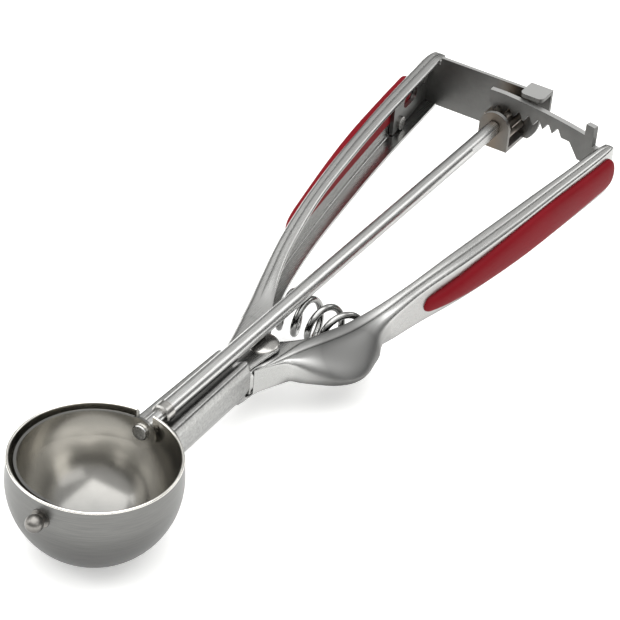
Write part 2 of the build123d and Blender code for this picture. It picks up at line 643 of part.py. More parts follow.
def make_sheet_rivet(spot, side, base, inside):
    """Rivet flush with the outside of a web, with a round head on the tab inside it."""
    stack = inside(SHEET + BRACKET_SHEET, 0)
    shank = (y_bars([spot], side, SHEET_RIVET_D / 2) & base) - stack
    head = y_bars([spot], side, SHEET_RIVET_HEAD_D / 2) & stack
    head -= inside(SHEET + BRACKET_SHEET + SHEET_RIVET_HEAD_HEIGHT, 0)
    return shank + head


def make_rack_rivet(spot):
    """Rivet through the lever's web and the rack's tab."""
    return make_sheet_rivet(spot, -1, lever_form(0, 0, 0), lever_inside)


def make_bracket_rivet(spot):
    """Rivet through the fixed handle's web and the bracket's tab."""
    return make_sheet_rivet(spot, 1, fixed_form(0, 0, 0), fixed_inside)


def make_pinion():
    """Small pinion with involute flanks."""
    base_r = PITCH_R * math.cos(math.radians(PRESSURE_ANGLE))
    root_r = PITCH_R - DEDENDUM * GEAR_MODULE
    involute = math.tan(math.radians(PRESSURE_ANGLE)) - math.radians(PRESSURE_ANGLE)
    half_tooth = math.pi / (2 * PINION_TEETH)
    flank = [(root_r * 0.95, half_tooth + involute)]
    steps = 4
    for i in range(steps + 1):
        r = base_r + (PINION_TIP_R - base_r) * i / steps
        roll = math.acos(base_r / r)
        flank.append((r, half_tooth + involute - (math.tan(roll) - roll)))
    profile = Circle(root_r)
    for k in range(PINION_TEETH):
        centre = math.pi / 2 + (k + 0.5 - MESH_PHASE) * 2 * math.pi / PINION_TEETH
        right = [(r * math.cos(centre - a), r * math.sin(centre - a)) for r, a in flank]
        left = [(r * math.cos(centre + a), r * math.sin(centre + a)) for r, a in reversed(flank)]
        profile += make_face(Polyline(*right, *left, close=True))
    plane = Plane(origin=(PINION_X0, 0, 0), x_dir=(0, 1, 0), z_dir=(1, 0, 0))
    pinion = extrude(plane * profile, PINION_X1 - PINION_X0)
    return pinion - x_rod(SHAFT_END_D / 2, PINION_X0, PINION_X1)


# ---------------------------------------------------------------- bracket
def make_bracket():
    """Plate riveted in the fixed handle; cages the pinion from below and guides the rack."""
    x1 = PLATE_X + BRACKET_SHEET
    guide_z = RACK_TOP_Z + GUIDE_GAP
    guide_y0 = GUIDE_START_Y - GUIDE_WIDTH
    plate = block(PLATE_X, x1, 0, FAR, PLATE_BOTTOM_Z, PLATE_TOP_Z) & fixed_inside(SHEET, SHEET)
    plate += block(PLATE_X, x1, GUIDE_START_Y, PLATE_STEP_Y, PLATE_BOTTOM_Z, PLATE_TOP_Z)
    plate += x_rod(PLATE_END_R, PLATE_X, x1) & block(0, FAR, -FAR, 1, PLATE_BOTTOM_Z, FAR)
    plate += block(PLATE_X, x1, guide_y0, GUIDE_START_Y, RACK_TIP_Z, guide_z + BRACKET_SHEET)
    guide = block(PLATE_X - GUIDE_REACH, x1, guide_y0, GUIDE_START_Y, guide_z, guide_z + BRACKET_SHEET)
    guide = fillet(guide.edges().filter_by(Axis.Z).sort_by(Axis.X)[:2], GUIDE_CORNER_R)
    floor = block(FRONT_LUG_X, x1, -LUG_R, LUG_R, PLATE_BOTTOM_Z, PLATE_BOTTOM_Z + BRACKET_SHEET)
    lug = x_rod(LUG_R, FRONT_LUG_X, FRONT_LUG_X + BRACKET_SHEET)
    lug += block(FRONT_LUG_X, FRONT_LUG_X + BRACKET_SHEET, -LUG_R, LUG_R, PLATE_BOTTOM_Z, 0)
    margin = SHEET + TAB_MARGIN
    tab = fixed_inside(SHEET, margin) - fixed_inside(SHEET + BRACKET_SHEET, margin)
    tab &= block(x1 - BRACKET_TAB_LENGTH, x1, 0, FAR, -FAR, FAR)
    reach = (BRACKET_SLOT_LENGTH - BRACKET_SLOT_D) / 2
    ends = [(BRACKET_SLOT_X - reach, BRACKET_SLOT_Z), (BRACKET_SLOT_X + reach, BRACKET_SLOT_Z)]
    slot = y_bars(ends, 1, BRACKET_SLOT_D / 2) + block(
        BRACKET_SLOT_X - reach, BRACKET_SLOT_X + reach, WEB_NEAR_Y, WEB_FAR_Y,
        BRACKET_SLOT_Z - BRACKET_SLOT_D / 2, BRACKET_SLOT_Z + BRACKET_SLOT_D / 2)
    bracket = plate + guide + floor + lug + tab - slot
    bracket -= x_rod(SHAFT_END_D / 2 + RUNNING_FIT, FRONT_LUG_X - 1, x1 + 1)
    return bracket - y_bars(bracket_rivet_spots(), 1, SHEET_RIVET_D / 2)


def make_rear_washer():
    """Washer between the plate and the peened end of the shaft."""
    x0 = PLATE_X + BRACKET_SHEET + WASHER_GAP
    washer = x_rod(WASHER_D / 2, x0, x0 + WASHER_THICKNESS)
    return washer - x_rod(SHAFT_END_D / 2, x0, x0 + WASHER_THICKNESS)


# ---------------------------------------------------------------- spring
def seat_line(inner, shift):
    """Distance and slope, at the spring's axis, of the line a spring end lies on."""
    seat = Spline(*shifted(inner, shift))
    half = SPRING_D / 2
    front, rear = [seat.find_intersection_points(Axis((x, 0, 0), (0, 1, 0)))[0].Y
                   for x in (SPRING_X - half, SPRING_X + half)]
    return (front + rear) / 2, (rear - front) / SPRING_D


def make_spring():
    """Coil spring between the handles, its end turns along the edges of their flanges.

    The wire is drawn as short straight runs with mitred joints, a fixed number to a turn.
    """
    clear = SPRING_SEAT_GAP + SPRING_WIRE / 2
    low, low_slope = seat_line(LEVER_INNER, -clear)
    high, high_slope = seat_line(FIXED_INNER, clear)
    open_turns = SPRING_TURNS - 2 * SPRING_CLOSED_TURNS
    points = []
    steps = int(SPRING_TURNS * SPRING_STEPS)
    for i in range(steps + 1):
        turn = i / SPRING_STEPS
        s = min(max((turn - SPRING_CLOSED_TURNS) / open_turns, 0), 1)
        a = 2 * math.pi * (turn + SPRING_PHASE)
        dx = SPRING_D / 2 * math.cos(a)
        dz = SPRING_D / 2 * math.sin(a)
        y = (1 - s) * (low + low_slope * dx) + s * (high + high_slope * dx)
        points.append((SPRING_X + dx, y, SPRING_Z + dz))
    path = Polyline(*points)
    section = Plane(origin=path @ 0, z_dir=path % 0) * Circle(SPRING_WIRE / 2)
    return sweep(section, path=path, transition=Transition.RIGHT)


def main():
    parts = {
        "bowl": make_bowl(),
        "scraper": make_scraper(),
        "front_pin": make_front_pin(),
        "shaft": make_shaft(),
        "shaft_collar": make_shaft_collar(),
        "pinion": make_pinion(),
        "rear_washer": make_rear_washer(),
        "fixed_handle": make_fixed_handle(),
        "fixed_grip": make_fixed_grip(),
        "gear_bracket": make_bracket(),
        "hinge_rivet": make_hinge_rivet(),
        "lever_handle": make_lever(),
        "lever_grip": make_lever_grip(),
        "rack": make_rack(),
        "spring": make_spring(),
    }
    for name, spot in zip(("front", "rear"), rack_rivet_spots()):
        parts["rack_rivet_" + name] = make_rack_rivet(spot)
    for name, spot in zip(("rear", "front"), bracket_rivet_spots()):
        parts["bracket_rivet_" + name] = make_bracket_rivet(spot)
    os.makedirs("parts", exist_ok=True)
    for name, solid in parts.items():
        solid.label = name
        export_step(solid, "parts/" + name + ".step")
        print(name, round(solid.volume, 1), len(solid.solids()))


main()
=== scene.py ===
# %% [markdown]
# # Lever ice cream scoop
#
# A small scoop with a round steel bowl. Squeezing the lever towards the fixed
# handle pulls a toothed rack across a pinion, the pinion turns the shaft, and the
# shaft sweeps a curved scraper round the inside of the bowl.
#
# The solids come ready made and in place. The lesson dresses them: a smooth spun
# bowl, a wound spring, the rolled edges of the handles, the metals and the rubber,
# and then the light and the camera.

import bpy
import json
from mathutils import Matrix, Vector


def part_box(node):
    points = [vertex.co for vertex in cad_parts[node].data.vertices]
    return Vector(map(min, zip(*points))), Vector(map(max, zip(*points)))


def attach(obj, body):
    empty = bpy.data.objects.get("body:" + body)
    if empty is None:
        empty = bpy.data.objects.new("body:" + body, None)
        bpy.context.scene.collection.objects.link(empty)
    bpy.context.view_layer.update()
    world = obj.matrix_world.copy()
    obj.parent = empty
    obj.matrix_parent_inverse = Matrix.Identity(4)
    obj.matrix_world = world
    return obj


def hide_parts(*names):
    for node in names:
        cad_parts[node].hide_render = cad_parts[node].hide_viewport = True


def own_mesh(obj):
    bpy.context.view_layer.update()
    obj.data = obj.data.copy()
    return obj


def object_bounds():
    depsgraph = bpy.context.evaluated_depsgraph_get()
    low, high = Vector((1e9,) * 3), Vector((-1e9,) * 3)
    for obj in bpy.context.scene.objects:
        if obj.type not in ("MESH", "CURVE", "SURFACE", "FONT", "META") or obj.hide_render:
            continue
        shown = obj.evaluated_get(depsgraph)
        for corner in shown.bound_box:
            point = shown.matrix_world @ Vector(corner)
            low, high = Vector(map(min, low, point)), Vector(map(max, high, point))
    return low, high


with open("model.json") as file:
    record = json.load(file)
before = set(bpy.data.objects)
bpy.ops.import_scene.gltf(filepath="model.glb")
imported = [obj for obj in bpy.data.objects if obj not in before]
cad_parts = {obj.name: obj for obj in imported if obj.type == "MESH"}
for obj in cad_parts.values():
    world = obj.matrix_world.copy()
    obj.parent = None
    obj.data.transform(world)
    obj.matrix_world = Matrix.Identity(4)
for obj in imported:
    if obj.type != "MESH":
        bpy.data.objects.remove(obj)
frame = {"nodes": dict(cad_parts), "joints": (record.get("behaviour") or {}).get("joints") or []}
solid_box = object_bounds()
print("solids:", len(frame["nodes"]), "box:", solid_box)

# %% Tools for the rest of the lesson
import json
import math

import bmesh
import bpy
from mathutils import Matrix, Vector

MM = 0.001
scene = bpy.context.scene
nodes = frame["nodes"]
print("sizes in metres, one millimetre is", MM)

# %% [markdown]
# ## Arithmetic on sockets
#
# A finish is mostly small sums: a grain times a strength, one minus a mask.
# Written as nodes they are hard to read, so a small class lets an expression add the
# Math nodes. Every other node, of a finish, of a geometry tree or of the room, comes
# from one function, `add_node`.

# %% Add a node


def plug(tree, slot, value):
    """Give a socket a number, a colour or vector, or a link."""
    source = value.socket if isinstance(value, Value) else value
    if isinstance(source, bpy.types.NodeSocket):
        tree.links.new(source, slot)
    else:
        slot.default_value = source


def find_socket(sockets, key):
    """A socket by its number, its identifier or its name."""
    if isinstance(key, int):
        return sockets[key]
    return next(s for s in sockets if key in (s.identifier, s.name))


def set_stops(ramp, stops):
    """Give a colour ramp its stops: positions with a grey level or a colour."""
    for _ in range(len(stops) - 2):
        ramp.elements.new(0.5)
    for element, (position, shade) in zip(ramp.elements, stops):
        element.position = position
        element.color = (*shade, 1.0) if isinstance(shade, tuple) else (shade, shade, shade, 1.0)


def add_node(tree, kind, settings=None, values=None):
    """A node by type: its settings go in first, then the values or links of its sockets."""
    node = tree.nodes.new(kind)
    for name, setting in (settings or {}).items():
        if name == "stops":
            set_stops(node.color_ramp, setting)
        else:
            setattr(node, name, setting)
    for name, value in (values or {}).items():
        plug(tree, find_socket(node.inputs, name), value)
    return node


print("node maker ready")

# %% Sums of sockets


class Value:
    """The output of a shader node, to be used in sums."""

    def __init__(self, tree, socket):
        self.tree = tree
        self.socket = socket

    def math(self, operation, first, second=0.0):
        node = add_node(self.tree, "ShaderNodeMath", {"operation": operation}, {0: first, 1: second})
        return Value(self.tree, node.outputs[0])

    def __add__(self, other):
        return self.math("ADD", self, other)

    def __sub__(self, other):
        return self.math("SUBTRACT", self, other)

    def __mul__(self, other):
        return self.math("MULTIPLY", self, other)

    def __rsub__(self, other):
        return self.math("SUBTRACT", other, self)

    def __abs__(self):
        return self.math("ABSOLUTE", self)

    __radd__ = __add__
    __rmul__ = __mul__


print("sums ready")

# %% [markdown]
# A finish is one material with its principled shader. Its patterns read the place on
# the object, so they stay on the metal when the piece moves. Bright metal mirrors the
# pale floor on every face that looks down, which makes it look flat; `paint_shaded`
# paints shade into the colour of those faces, darker the more they look down.

# %% Finishes
SHADE_STOPS = [(0.12, 0.22), (0.42, 0.6), (0.62, 1.0)]


def rgba(colour):
    """A fixed colour with its fourth number; a colour made by nodes stays as it is."""
    return (*colour, 1.0) if isinstance(colour, tuple) else colour


class Finish:
    """A material under construction, with its principled shader."""

    def __init__(self, name, colour, roughness, metallic=1.0):
        self.material = bpy.data.materials.new(name)
        self.material.use_nodes = True
        self.tree = self.material.node_tree
        self.shader = self.tree.nodes["Principled BSDF"]
        self.set("Base Color", colour)
        self.set("Roughness", roughness)
        self.set("Metallic", metallic)

    def set(self, name, value):
        plug(self.tree, self.shader.inputs[name], rgba(value))

    def add(self, kind, settings=None, values=None, output=0):
        """The output of a new shader node, for use in sums."""
        node = add_node(self.tree, "ShaderNode" + kind, settings, values)
        return Value(self.tree, find_socket(node.outputs, output))

    def place(self):
        """Position on the object, in metres."""
        return self.add("TexCoord", output="Object")

    def axis(self, source, letter):
        """One axis of the surface's Object position or of its Normal."""
        vector = self.add("TexCoord", output=source)
        return self.add("SeparateXYZ", values={"Vector": vector}, output=letter)

    def noise(self, scale, detail=3.0):
        """Cloudy noise; a scale of three numbers stretches it along an axis."""
        stretch = self.add("Mapping", values={"Vector": self.place(), "Scale": scale})
        return self.add("TexNoise", values={"Vector": stretch, "Scale": 1.0, "Detail": detail})

    def ramp(self, value, stops):
        return self.add("ValToRGB", {"stops": stops}, {"Fac": value})

    def clamp(self, value):
        """The value, held between 0 and 1."""
        return self.add("Clamp", values={"Value": value})

    def mix(self, first, second, amount, blend="MIX"):
        """Mix two colours, each fixed or made by nodes, by a value from 0 to 1."""
        settings = {"data_type": "RGBA", "blend_type": blend}
        values = {"Factor_Float": amount, "A_Color": rgba(first), "B_Color": rgba(second)}
        return self.add("Mix", settings, values, "Result_Color")

    def paint_shaded(self, colour):
        """Give the shader its colour, with painted shade where the surface looks down."""
        shade = self.ramp(self.axis("Normal", "Z") * 0.5 + 0.5, SHADE_STOPS)
        self.set("Base Color", self.mix(colour, shade, 1.0, "MULTIPLY"))

    def bump(self, height, strength, depth):
        values = {"Height": height, "Strength": strength, "Distance": depth}
        self.set("Normal", self.add("Bump", values=values))


print("finishes ready")

# %% [markdown]
# ## The metals
#
# Stainless steel looks different by how it was last worked. Spun and pressed sheet
# keeps a fine grain along the direction it was rubbed in, so its noise is stretched
# that way, and finger marks change the roughness in soft patches. The handles are
# pebbled where the neck was drawn and matt on the finger lobe.

# %% Sheet steel with a grain
GRAIN_STOPS = [(0.3, 0.0), (0.7, 1.0)]
GRAIN_DULL = 0.06
GRAIN_BUMP = 0.06
GRAIN_DEPTH = 0.004 * MM
MARKS = (60, 60, 60)
MARK_DULL = 0.10
MEAN_DULL = (GRAIN_DULL + MARK_DULL) / 2


class SheetSteel(Finish):
    """Rubbed steel; the scale of its grain along x, y and z gives the rubbed direction."""

    def __init__(self, name, dark, light, rough, scale):
        super().__init__(name, light, rough)
        self.grain = self.noise(scale)
        self.colour = self.mix(dark, light, self.ramp(self.grain, GRAIN_STOPS))
        marks = self.noise(MARKS, 2.0)
        self.dullness = self.grain * GRAIN_DULL + marks * MARK_DULL + (rough - MEAN_DULL)
        self.set("Roughness", self.dullness)

    def bump_grain(self):
        self.bump(self.grain, GRAIN_BUMP, GRAIN_DEPTH)


print("sheet steel ready")

# %% Satin outside of the bowl
SATIN_LIGHT = (0.22, 0.22, 0.213)
SATIN_DARK = (0.18, 0.18, 0.175)
SATIN_GRAIN = (160, 160, 3600)
SATIN_ROUGH = 0.38


def satin_steel():
    steel = SheetSteel("bowl_satin", SATIN_DARK, SATIN_LIGHT, SATIN_ROUGH, SATIN_GRAIN)
    steel.paint_shaded(steel.colour)
    steel.bump_grain()
    return steel.material


bowl_satin = satin_steel()
print("finish:", bowl_satin.name)

# %% Sheet steel of the handles
SHEET_LIGHT = (0.52, 0.52, 0.51)
SHEET_DARK = (0.48, 0.48, 0.47)
SHEET_GRAIN = (60, 3600, 3600)
SHEET_ROUGH = 0.27
LOBE_GREY = (0.18, 0.18, 0.176)
LOBE_CENTRE = (84 * MM, -20.5 * MM, -8 * MM)
LOBE_REACH = 16.8 * MM
LOBE_FADE = 8 * MM
LOBE_DULL = 0.2
NECK_GREY = (0.22, 0.22, 0.215)
NECK_END = 60 * MM
NECK_FADE = 5 * MM
PEBBLES = (1400, 1400, 1400)
PEBBLE_BUMP = 0.5
PEBBLE_DEPTH = 0.03 * MM


def pressed_steel():
    steel = SheetSteel("handle_steel", SHEET_DARK, SHEET_LIGHT, SHEET_ROUGH, SHEET_GRAIN)
    away = steel.add("VectorMath", {"operation": "DISTANCE"}, {0: steel.place(), 1: LOBE_CENTRE}, "Value")
    lobe = steel.clamp((LOBE_REACH - away) * (1 / LOBE_FADE))
    neck = steel.clamp((NECK_END - steel.axis("Object", "X")) * (1 / NECK_FADE))
    pebbles = steel.noise(PEBBLES, 2.0) * neck
    steel.paint_shaded(steel.mix(steel.mix(steel.colour, LOBE_GREY, lobe), NECK_GREY, pebbles))
    steel.set("Roughness", steel.dullness + lobe * LOBE_DULL)
    steel.bump(pebbles, PEBBLE_BUMP, PEBBLE_DEPTH)
    return steel.material


handle_steel = pressed_steel()
print("finish:", handle_steel.name)

# %% [markdown]
# The plate and the rack are stamped from plain sheet. Their faces are dull, and their
# colour is painted dark: painted shade, as they lie between the handles. The faces
# that look up, which here are the sheared edges, are painted bright: bare steel with a
# painted highlight. Oil from the pinion stains the cage round it brown.

# %% Stamped steel
# Face colours: painted shade, dark as the plate and rack lie between the handles.
FACE_DARK = (0.11, 0.11, 0.106)
FACE_LIGHT = (0.16, 0.16, 0.155)
FACE_GRAIN = (2400, 150, 900)
FACE_ROUGH = 0.40
FACE_PATCHES = (260, 260, 260)
BARE_LIT_EDGE = (0.66, 0.66, 0.65)
LIT_EDGE_STOPS = [(0.55, 0.0), (0.8, 1.0)]
OIL_BROWN = (0.17, 0.14, 0.11)
OIL_REACH = 6.25 * MM
OIL_LEAST = 0.35


def stamped_steel(name, stain):
    """Dull sheet painted dark as shade, its upward faces painted bright as a highlight; stain is the amount
    of oil near the gear.
    """
    steel = SheetSteel(name, FACE_DARK, FACE_LIGHT, FACE_ROUGH, FACE_GRAIN)
    # Upward faces are painted bright: bare steel with a painted highlight.
    edge = steel.ramp(steel.axis("Normal", "Z"), LIT_EDGE_STOPS)
    patches = steel.noise(FACE_PATCHES)
    near = (1 - abs(steel.axis("Object", "Y")) * (1 / OIL_REACH)) * stain
    oily = steel.clamp(near * (patches + OIL_LEAST))
    face = steel.mix(steel.mix(FACE_DARK, FACE_LIGHT, patches), OIL_BROWN, oily)
    steel.set("Base Color", steel.mix(face, BARE_LIT_EDGE, edge))
    steel.bump_grain()
    return steel.material


plate_steel = stamped_steel("plate_steel", 1.0)
rack_steel = stamped_steel("rack_steel", 0.0)
print("finishes:", plate_steel.name, rack_steel.name)

# %% [markdown]
# Polished steel mirrors the room. What keeps it from looking like glass is a little
# unevenness: wide, very shallow waves and a few faint rub marks.

# %% Polished steel
WAVES = (90, 90, 90)
WAVE_BUMP = 0.3
RUB_STOPS = [(0.35, 0.0), (0.6, 1.0)]
RUB_SHADE = 0.9
RUB_DULL = 0.08
RUB_HEIGHT = 0.02
POLISH_DEPTH = 0.05 * MM


def polished_steel(name, colour, rough, rub_scale):
    """Bright steel with shallow waves and faint marks."""
    steel = Finish(name, colour, rough)
    waves = steel.noise(WAVES, 2.0)
    rubs = steel.noise(rub_scale)
    dim = tuple(part * RUB_SHADE for part in colour)
    steel.paint_shaded(steel.mix(dim, colour, steel.ramp(rubs, RUB_STOPS)))
    steel.set("Roughness", rubs * RUB_DULL + (rough - RUB_DULL / 2))
    steel.bump(waves + rubs * RUB_HEIGHT, WAVE_BUMP, POLISH_DEPTH)
    return steel.material


# The rim's brighter colour is a painted highlight along the rolled rim.
rim_highlight_steel = polished_steel("rim_highlight_steel", (0.90, 0.88, 0.83), 0.22, (900, 900, 900))
shaft_steel = polished_steel("shaft_steel", (0.62, 0.62, 0.61), 0.27, (120, 2600, 2600))
spring_wire = polished_steel("spring_wire", (0.40, 0.40, 0.39), 0.18, (1800, 1800, 1800))
pin_steel = polished_steel("pin_steel", (0.48, 0.47, 0.45), 0.24, (1500, 1500, 1500))
dull_pin = polished_steel("front_pin_steel", (0.25, 0.24, 0.225), 0.36, (1500, 1500, 1500))
print("polished finishes made")

# %% [markdown]
# Inside, the bowl and its scraper are polished. The colour is bright on the wall and
# painted darker at the bottom, a painted shade on the faces that look up, so one
# colour fades into the other with the slope of the surface.

# %% Polish inside the bowl
POLISH_LIGHT = (0.68, 0.66, 0.615)
POLISH_SHADE = (0.20, 0.198, 0.19)
POLISH_ROUGH = 0.13
POLISH_DULL = 0.06
POLISH_RUBS = (500, 500, 2600)
POLISH_BUMP = 0.2
SLOPE_SHADE_STOPS = [(0.08, 1.0), (0.5, 0.42), (0.9, 0.0)]
CLOUDS = (130, 130, 130)
CLOUD_SHIFT = 0.16


def bowl_polish():
    steel = Finish("bowl_mirror", POLISH_LIGHT, POLISH_ROUGH)
    rubs = steel.noise(POLISH_RUBS)
    clouds = steel.noise(CLOUDS)
    # Painted shade: darker where the inside faces up, shifted a little by the clouds.
    slope = steel.axis("Normal", "Z") + clouds * CLOUD_SHIFT - CLOUD_SHIFT / 2
    steel.set("Base Color", steel.mix(POLISH_SHADE, POLISH_LIGHT, steel.ramp(slope, SLOPE_SHADE_STOPS)))
    steel.set("Roughness", (rubs + clouds) * POLISH_DULL + POLISH_ROUGH)
    steel.bump(clouds + rubs * RUB_HEIGHT, POLISH_BUMP, POLISH_DEPTH)
    return steel.material


bowl_mirror = bowl_polish()
print("finish:", bowl_mirror.name)

# %% [markdown]
# The pinion is cut from a plain bar and oiled, so it is duller and a little brown.

# %% Pinion steel
GEAR_DARK = (0.13, 0.105, 0.085)
GEAR_LIGHT = (0.36, 0.335, 0.30)
GEAR_ROUGH = 0.24
OIL_DULL = 0.25
OIL_PATCHES = (320, 320, 320)
CUT_MARKS = (3000, 3000, 3000)
CUT_BUMP = 0.3
FINE_DEPTH = 0.02 * MM


def oiled_steel():
    steel = Finish("gear_steel", GEAR_LIGHT, GEAR_ROUGH)
    patches = steel.noise(OIL_PATCHES, 4.0)
    steel.set("Base Color", steel.mix(GEAR_DARK, GEAR_LIGHT, steel.ramp(patches, GRAIN_STOPS)))
    steel.set("Roughness", patches * OIL_DULL + GEAR_ROUGH)
    steel.bump(steel.noise(CUT_MARKS), CUT_BUMP, FINE_DEPTH)
    return steel.material


gear_steel = oiled_steel()
print("finish:", gear_steel.name)

# %% [markdown]
# The grips are soft red rubber moulded through a window in each handle. The mould
# leaves a very fine, dry grain, and use polishes it a little in patches.

# %% Grip rubber
RUBBER_DARK = (0.155, 0.004, 0.008)
RUBBER_LIGHT = (0.20, 0.008, 0.014)
RUBBER_ROUGH = 0.40
RUBBER_GLOSS = 0.08
RUBBER_GRAIN = (2600, 2600, 2600)
RUBBER_GRAIN_DULL = 0.08
RUBBER_BUMP = 0.2
WORN_PATCHES = (70, 70, 70)
WORN_DULL = 0.16


def red_grip_rubber():
    rubber = Finish("grip_rubber", RUBBER_LIGHT, RUBBER_ROUGH, metallic=0.0)
    grain = rubber.noise(RUBBER_GRAIN, 2.0)
    patches = rubber.noise(WORN_PATCHES)
    rubber.set("Base Color", rubber.mix(RUBBER_DARK, RUBBER_LIGHT, patches))
    rubber.set("Roughness", patches * WORN_DULL + grain * RUBBER_GRAIN_DULL + RUBBER_ROUGH)
    rubber.set("Specular IOR Level", RUBBER_GLOSS)
    rubber.bump(grain, RUBBER_BUMP, FINE_DEPTH)
    return rubber.material


red_rubber = red_grip_rubber()
print("finish:", red_rubber.name)

# %% [markdown]
# ## Dressing the solids
#
# Solids whose shape is right keep their mesh and only get a finish.

# %% Finishes for the solids
SOLID_FINISH = {
    "scraper": bowl_mirror,
    "front_pin": dull_pin,
    "shaft": shaft_steel,
    "shaft_collar": pin_steel,
    "pinion": gear_steel,
    "rear_washer": pin_steel,
    "gear_bracket": plate_steel,
    "rack": rack_steel,
    "rack_rivet_front": pin_steel,
    "rack_rivet_rear": pin_steel,
    "bracket_rivet_front": pin_steel,
    "bracket_rivet_rear": pin_steel,
}


def dress(obj, *materials):
    """Give an object its materials and no others."""
    obj.data.materials.clear()
    for material in materials:
        obj.data.materials.append(material)


for name, material in SOLID_FINISH.items():
    dress(nodes[name], material)
print("dressed", len(SOLID_FINISH), "solids")

# %% [markdown]
# ## The bowl
#
# The real bowl is spun or drawn from one disc of sheet. A lathe profile does the
# same job: the outside line, the rounded rim and the inside line, turned once round.
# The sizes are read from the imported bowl, so the smooth one lies exactly in its place.

# %% Bowl sizes, from the solid
bowl_low, bowl_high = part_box("bowl")
RIM_Z = bowl_high.z
BOWL_R = (bowl_high.y - bowl_low.y) / 2
BOWL_CENTRE_Z = bowl_low.z + BOWL_R
WALL = 0.8 * MM
RIM_LEAN = 0.3 * MM
RIM_ROUND = WALL / 2
print("bowl radius", BOWL_R, "rim at", RIM_Z)

# %% New objects


def put_in_scene(name, data):
    obj = bpy.data.objects.new(name, data)
    scene.collection.objects.link(obj)
    return obj


def shape_object(name, shape):
    """An object from a mesh under construction."""
    mesh = bpy.data.meshes.new(name)
    shape.to_mesh(mesh)
    shape.free()
    return put_in_scene(name, mesh)


def closed_object(name, shape):
    """The same for a closed mesh, with its faces turned outwards first."""
    bmesh.ops.recalc_face_normals(shape, faces=shape.faces)
    return shape_object(name, shape)


print("tools for meshes ready")

# %% Turn the bowl
AXIS_NEAR = 1e-7
BOWL_STEPS = 256
WALL_STEPS = 40
RIM_STEPS = 10


def arc_points(centre, radius, start, end, steps):
    """Points (r, z) on a circle, angles in degrees from the level."""
    angles = (math.radians(start + (end - start) * i / steps) for i in range(steps + 1))
    return [(centre[0] + radius * math.cos(a), centre[1] + radius * math.sin(a)) for a in angles]


def bowl_profile():
    """Outside line, rim and inside line, from the lowest point round to the axis again."""
    outside = arc_points((0, BOWL_CENTRE_Z), BOWL_R, -90, 0, WALL_STEPS)
    rim_centre = (BOWL_R - RIM_LEAN - RIM_ROUND, RIM_Z - RIM_ROUND)
    rim = arc_points(rim_centre, RIM_ROUND, 0, 180, RIM_STEPS)
    inside = arc_points((0, BOWL_CENTRE_Z), BOWL_R - WALL, 0, -90, WALL_STEPS)
    return outside + rim + inside


def ring_at(shape, r, z, steps):
    """A ring of corners about the upright axis, or one corner on the axis."""
    if r < AXIS_NEAR:
        return [shape.verts.new((0, 0, z))]
    angles = (2 * math.pi * k / steps for k in range(steps))
    return [shape.verts.new((r * math.cos(a), r * math.sin(a), z)) for a in angles]


def turn(name, profile, steps):
    """Mesh of revolution about the upright axis; the ends close on the axis."""
    shape = bmesh.new()
    rings = [ring_at(shape, r, z, steps) for r, z in profile]
    for low, high in zip(rings, rings[1:]):
        for k in range(steps):
            after = (k + 1) % steps
            corners = [low[k % len(low)], low[after % len(low)], high[after % len(high)], high[k % len(high)]]
            shape.faces.new(list(dict.fromkeys(corners)))
    return closed_object(name, shape)


bowl = turn("spun_bowl", bowl_profile(), BOWL_STEPS)
print("bowl faces:", len(bowl.data.polygons))

# %% [markdown]
# The notch for the shaft and the hole for the front pin are cut with a Boolean. The
# cutters are round bars lying along the shaft's line; the notch also runs up and out
# through the rim.

# %% Bars and Booleans
BAR_STEPS = 48


def extrude(name, start, end):
    """Solid between two outlines with the same number of points."""
    shape = bmesh.new()
    first, last = ([shape.verts.new(point) for point in outline] for outline in (start, end))
    count = len(first)
    shape.faces.new(first)
    shape.faces.new(list(reversed(last)))
    for k in range(count):
        shape.faces.new([first[k], last[k], last[(k + 1) % count], first[(k + 1) % count]])
    return closed_object(name, shape)


def bar(name, radius, x0, x1, z1=0):
    """Round bar along x, its upper half drawn up to z1 where that is given."""
    angles = (math.pi + math.pi * i / BAR_STEPS for i in range(BAR_STEPS + 1))
    lower = [(radius * math.cos(a), radius * math.sin(a)) for a in angles]
    upper = [(radius, z1), (-radius, z1)] if z1 else [(-y, -z) for y, z in lower[1:-1]]
    start, end = ([(x, y, z) for y, z in lower + upper] for x in (x0, x1))
    return extrude(name, start, end)


def bake(obj):
    """Replace an object's mesh by the result of its modifiers."""
    graph = bpy.context.evaluated_depsgraph_get()
    mesh = bpy.data.meshes.new_from_object(obj.evaluated_get(graph))
    obj.modifiers.clear()
    obj.data = mesh


def combine(obj, tool, operation):
    """Boolean with a closed tool, which is dropped afterwards."""
    modifier = obj.modifiers.new("combine", "BOOLEAN")
    modifier.operation = operation
    modifier.solver = "EXACT"
    modifier.object = tool
    bake(obj)
    bpy.data.objects.remove(tool)


print("cutting tools ready")

# %% Cut the notch and the pin hole
NOTCH_R = 2.3 * MM
PIN_HOLE_R = 2.45 * MM
CUT_NEAR = 5 * MM
CUT_FAR = 40 * MM
combine(bowl, bar("notch_cutter", NOTCH_R, CUT_NEAR, CUT_FAR, CUT_FAR), "DIFFERENCE")
combine(bowl, bar("hole_cutter", PIN_HOLE_R, -CUT_FAR, -CUT_NEAR), "DIFFERENCE")
print("cut bowl faces:", len(bowl.data.polygons))

# %% [markdown]
# Outside, the bowl is rubbed to a satin grain; inside it is polished so that ice
# cream lets go. Each face takes its finish from the side of the wall that it is on.

# %% Three finishes on one wall
INSIDE_SHARE = 0.3
RIM_SHARE = 0.9
BOWL_CRISP = 32


def smooth(obj, angle):
    """Soft shading, with edges sharper than the angle left crisp."""
    for face in obj.data.polygons:
        face.use_smooth = True
    obj.data.set_sharp_from_angle(angle=math.radians(angle))


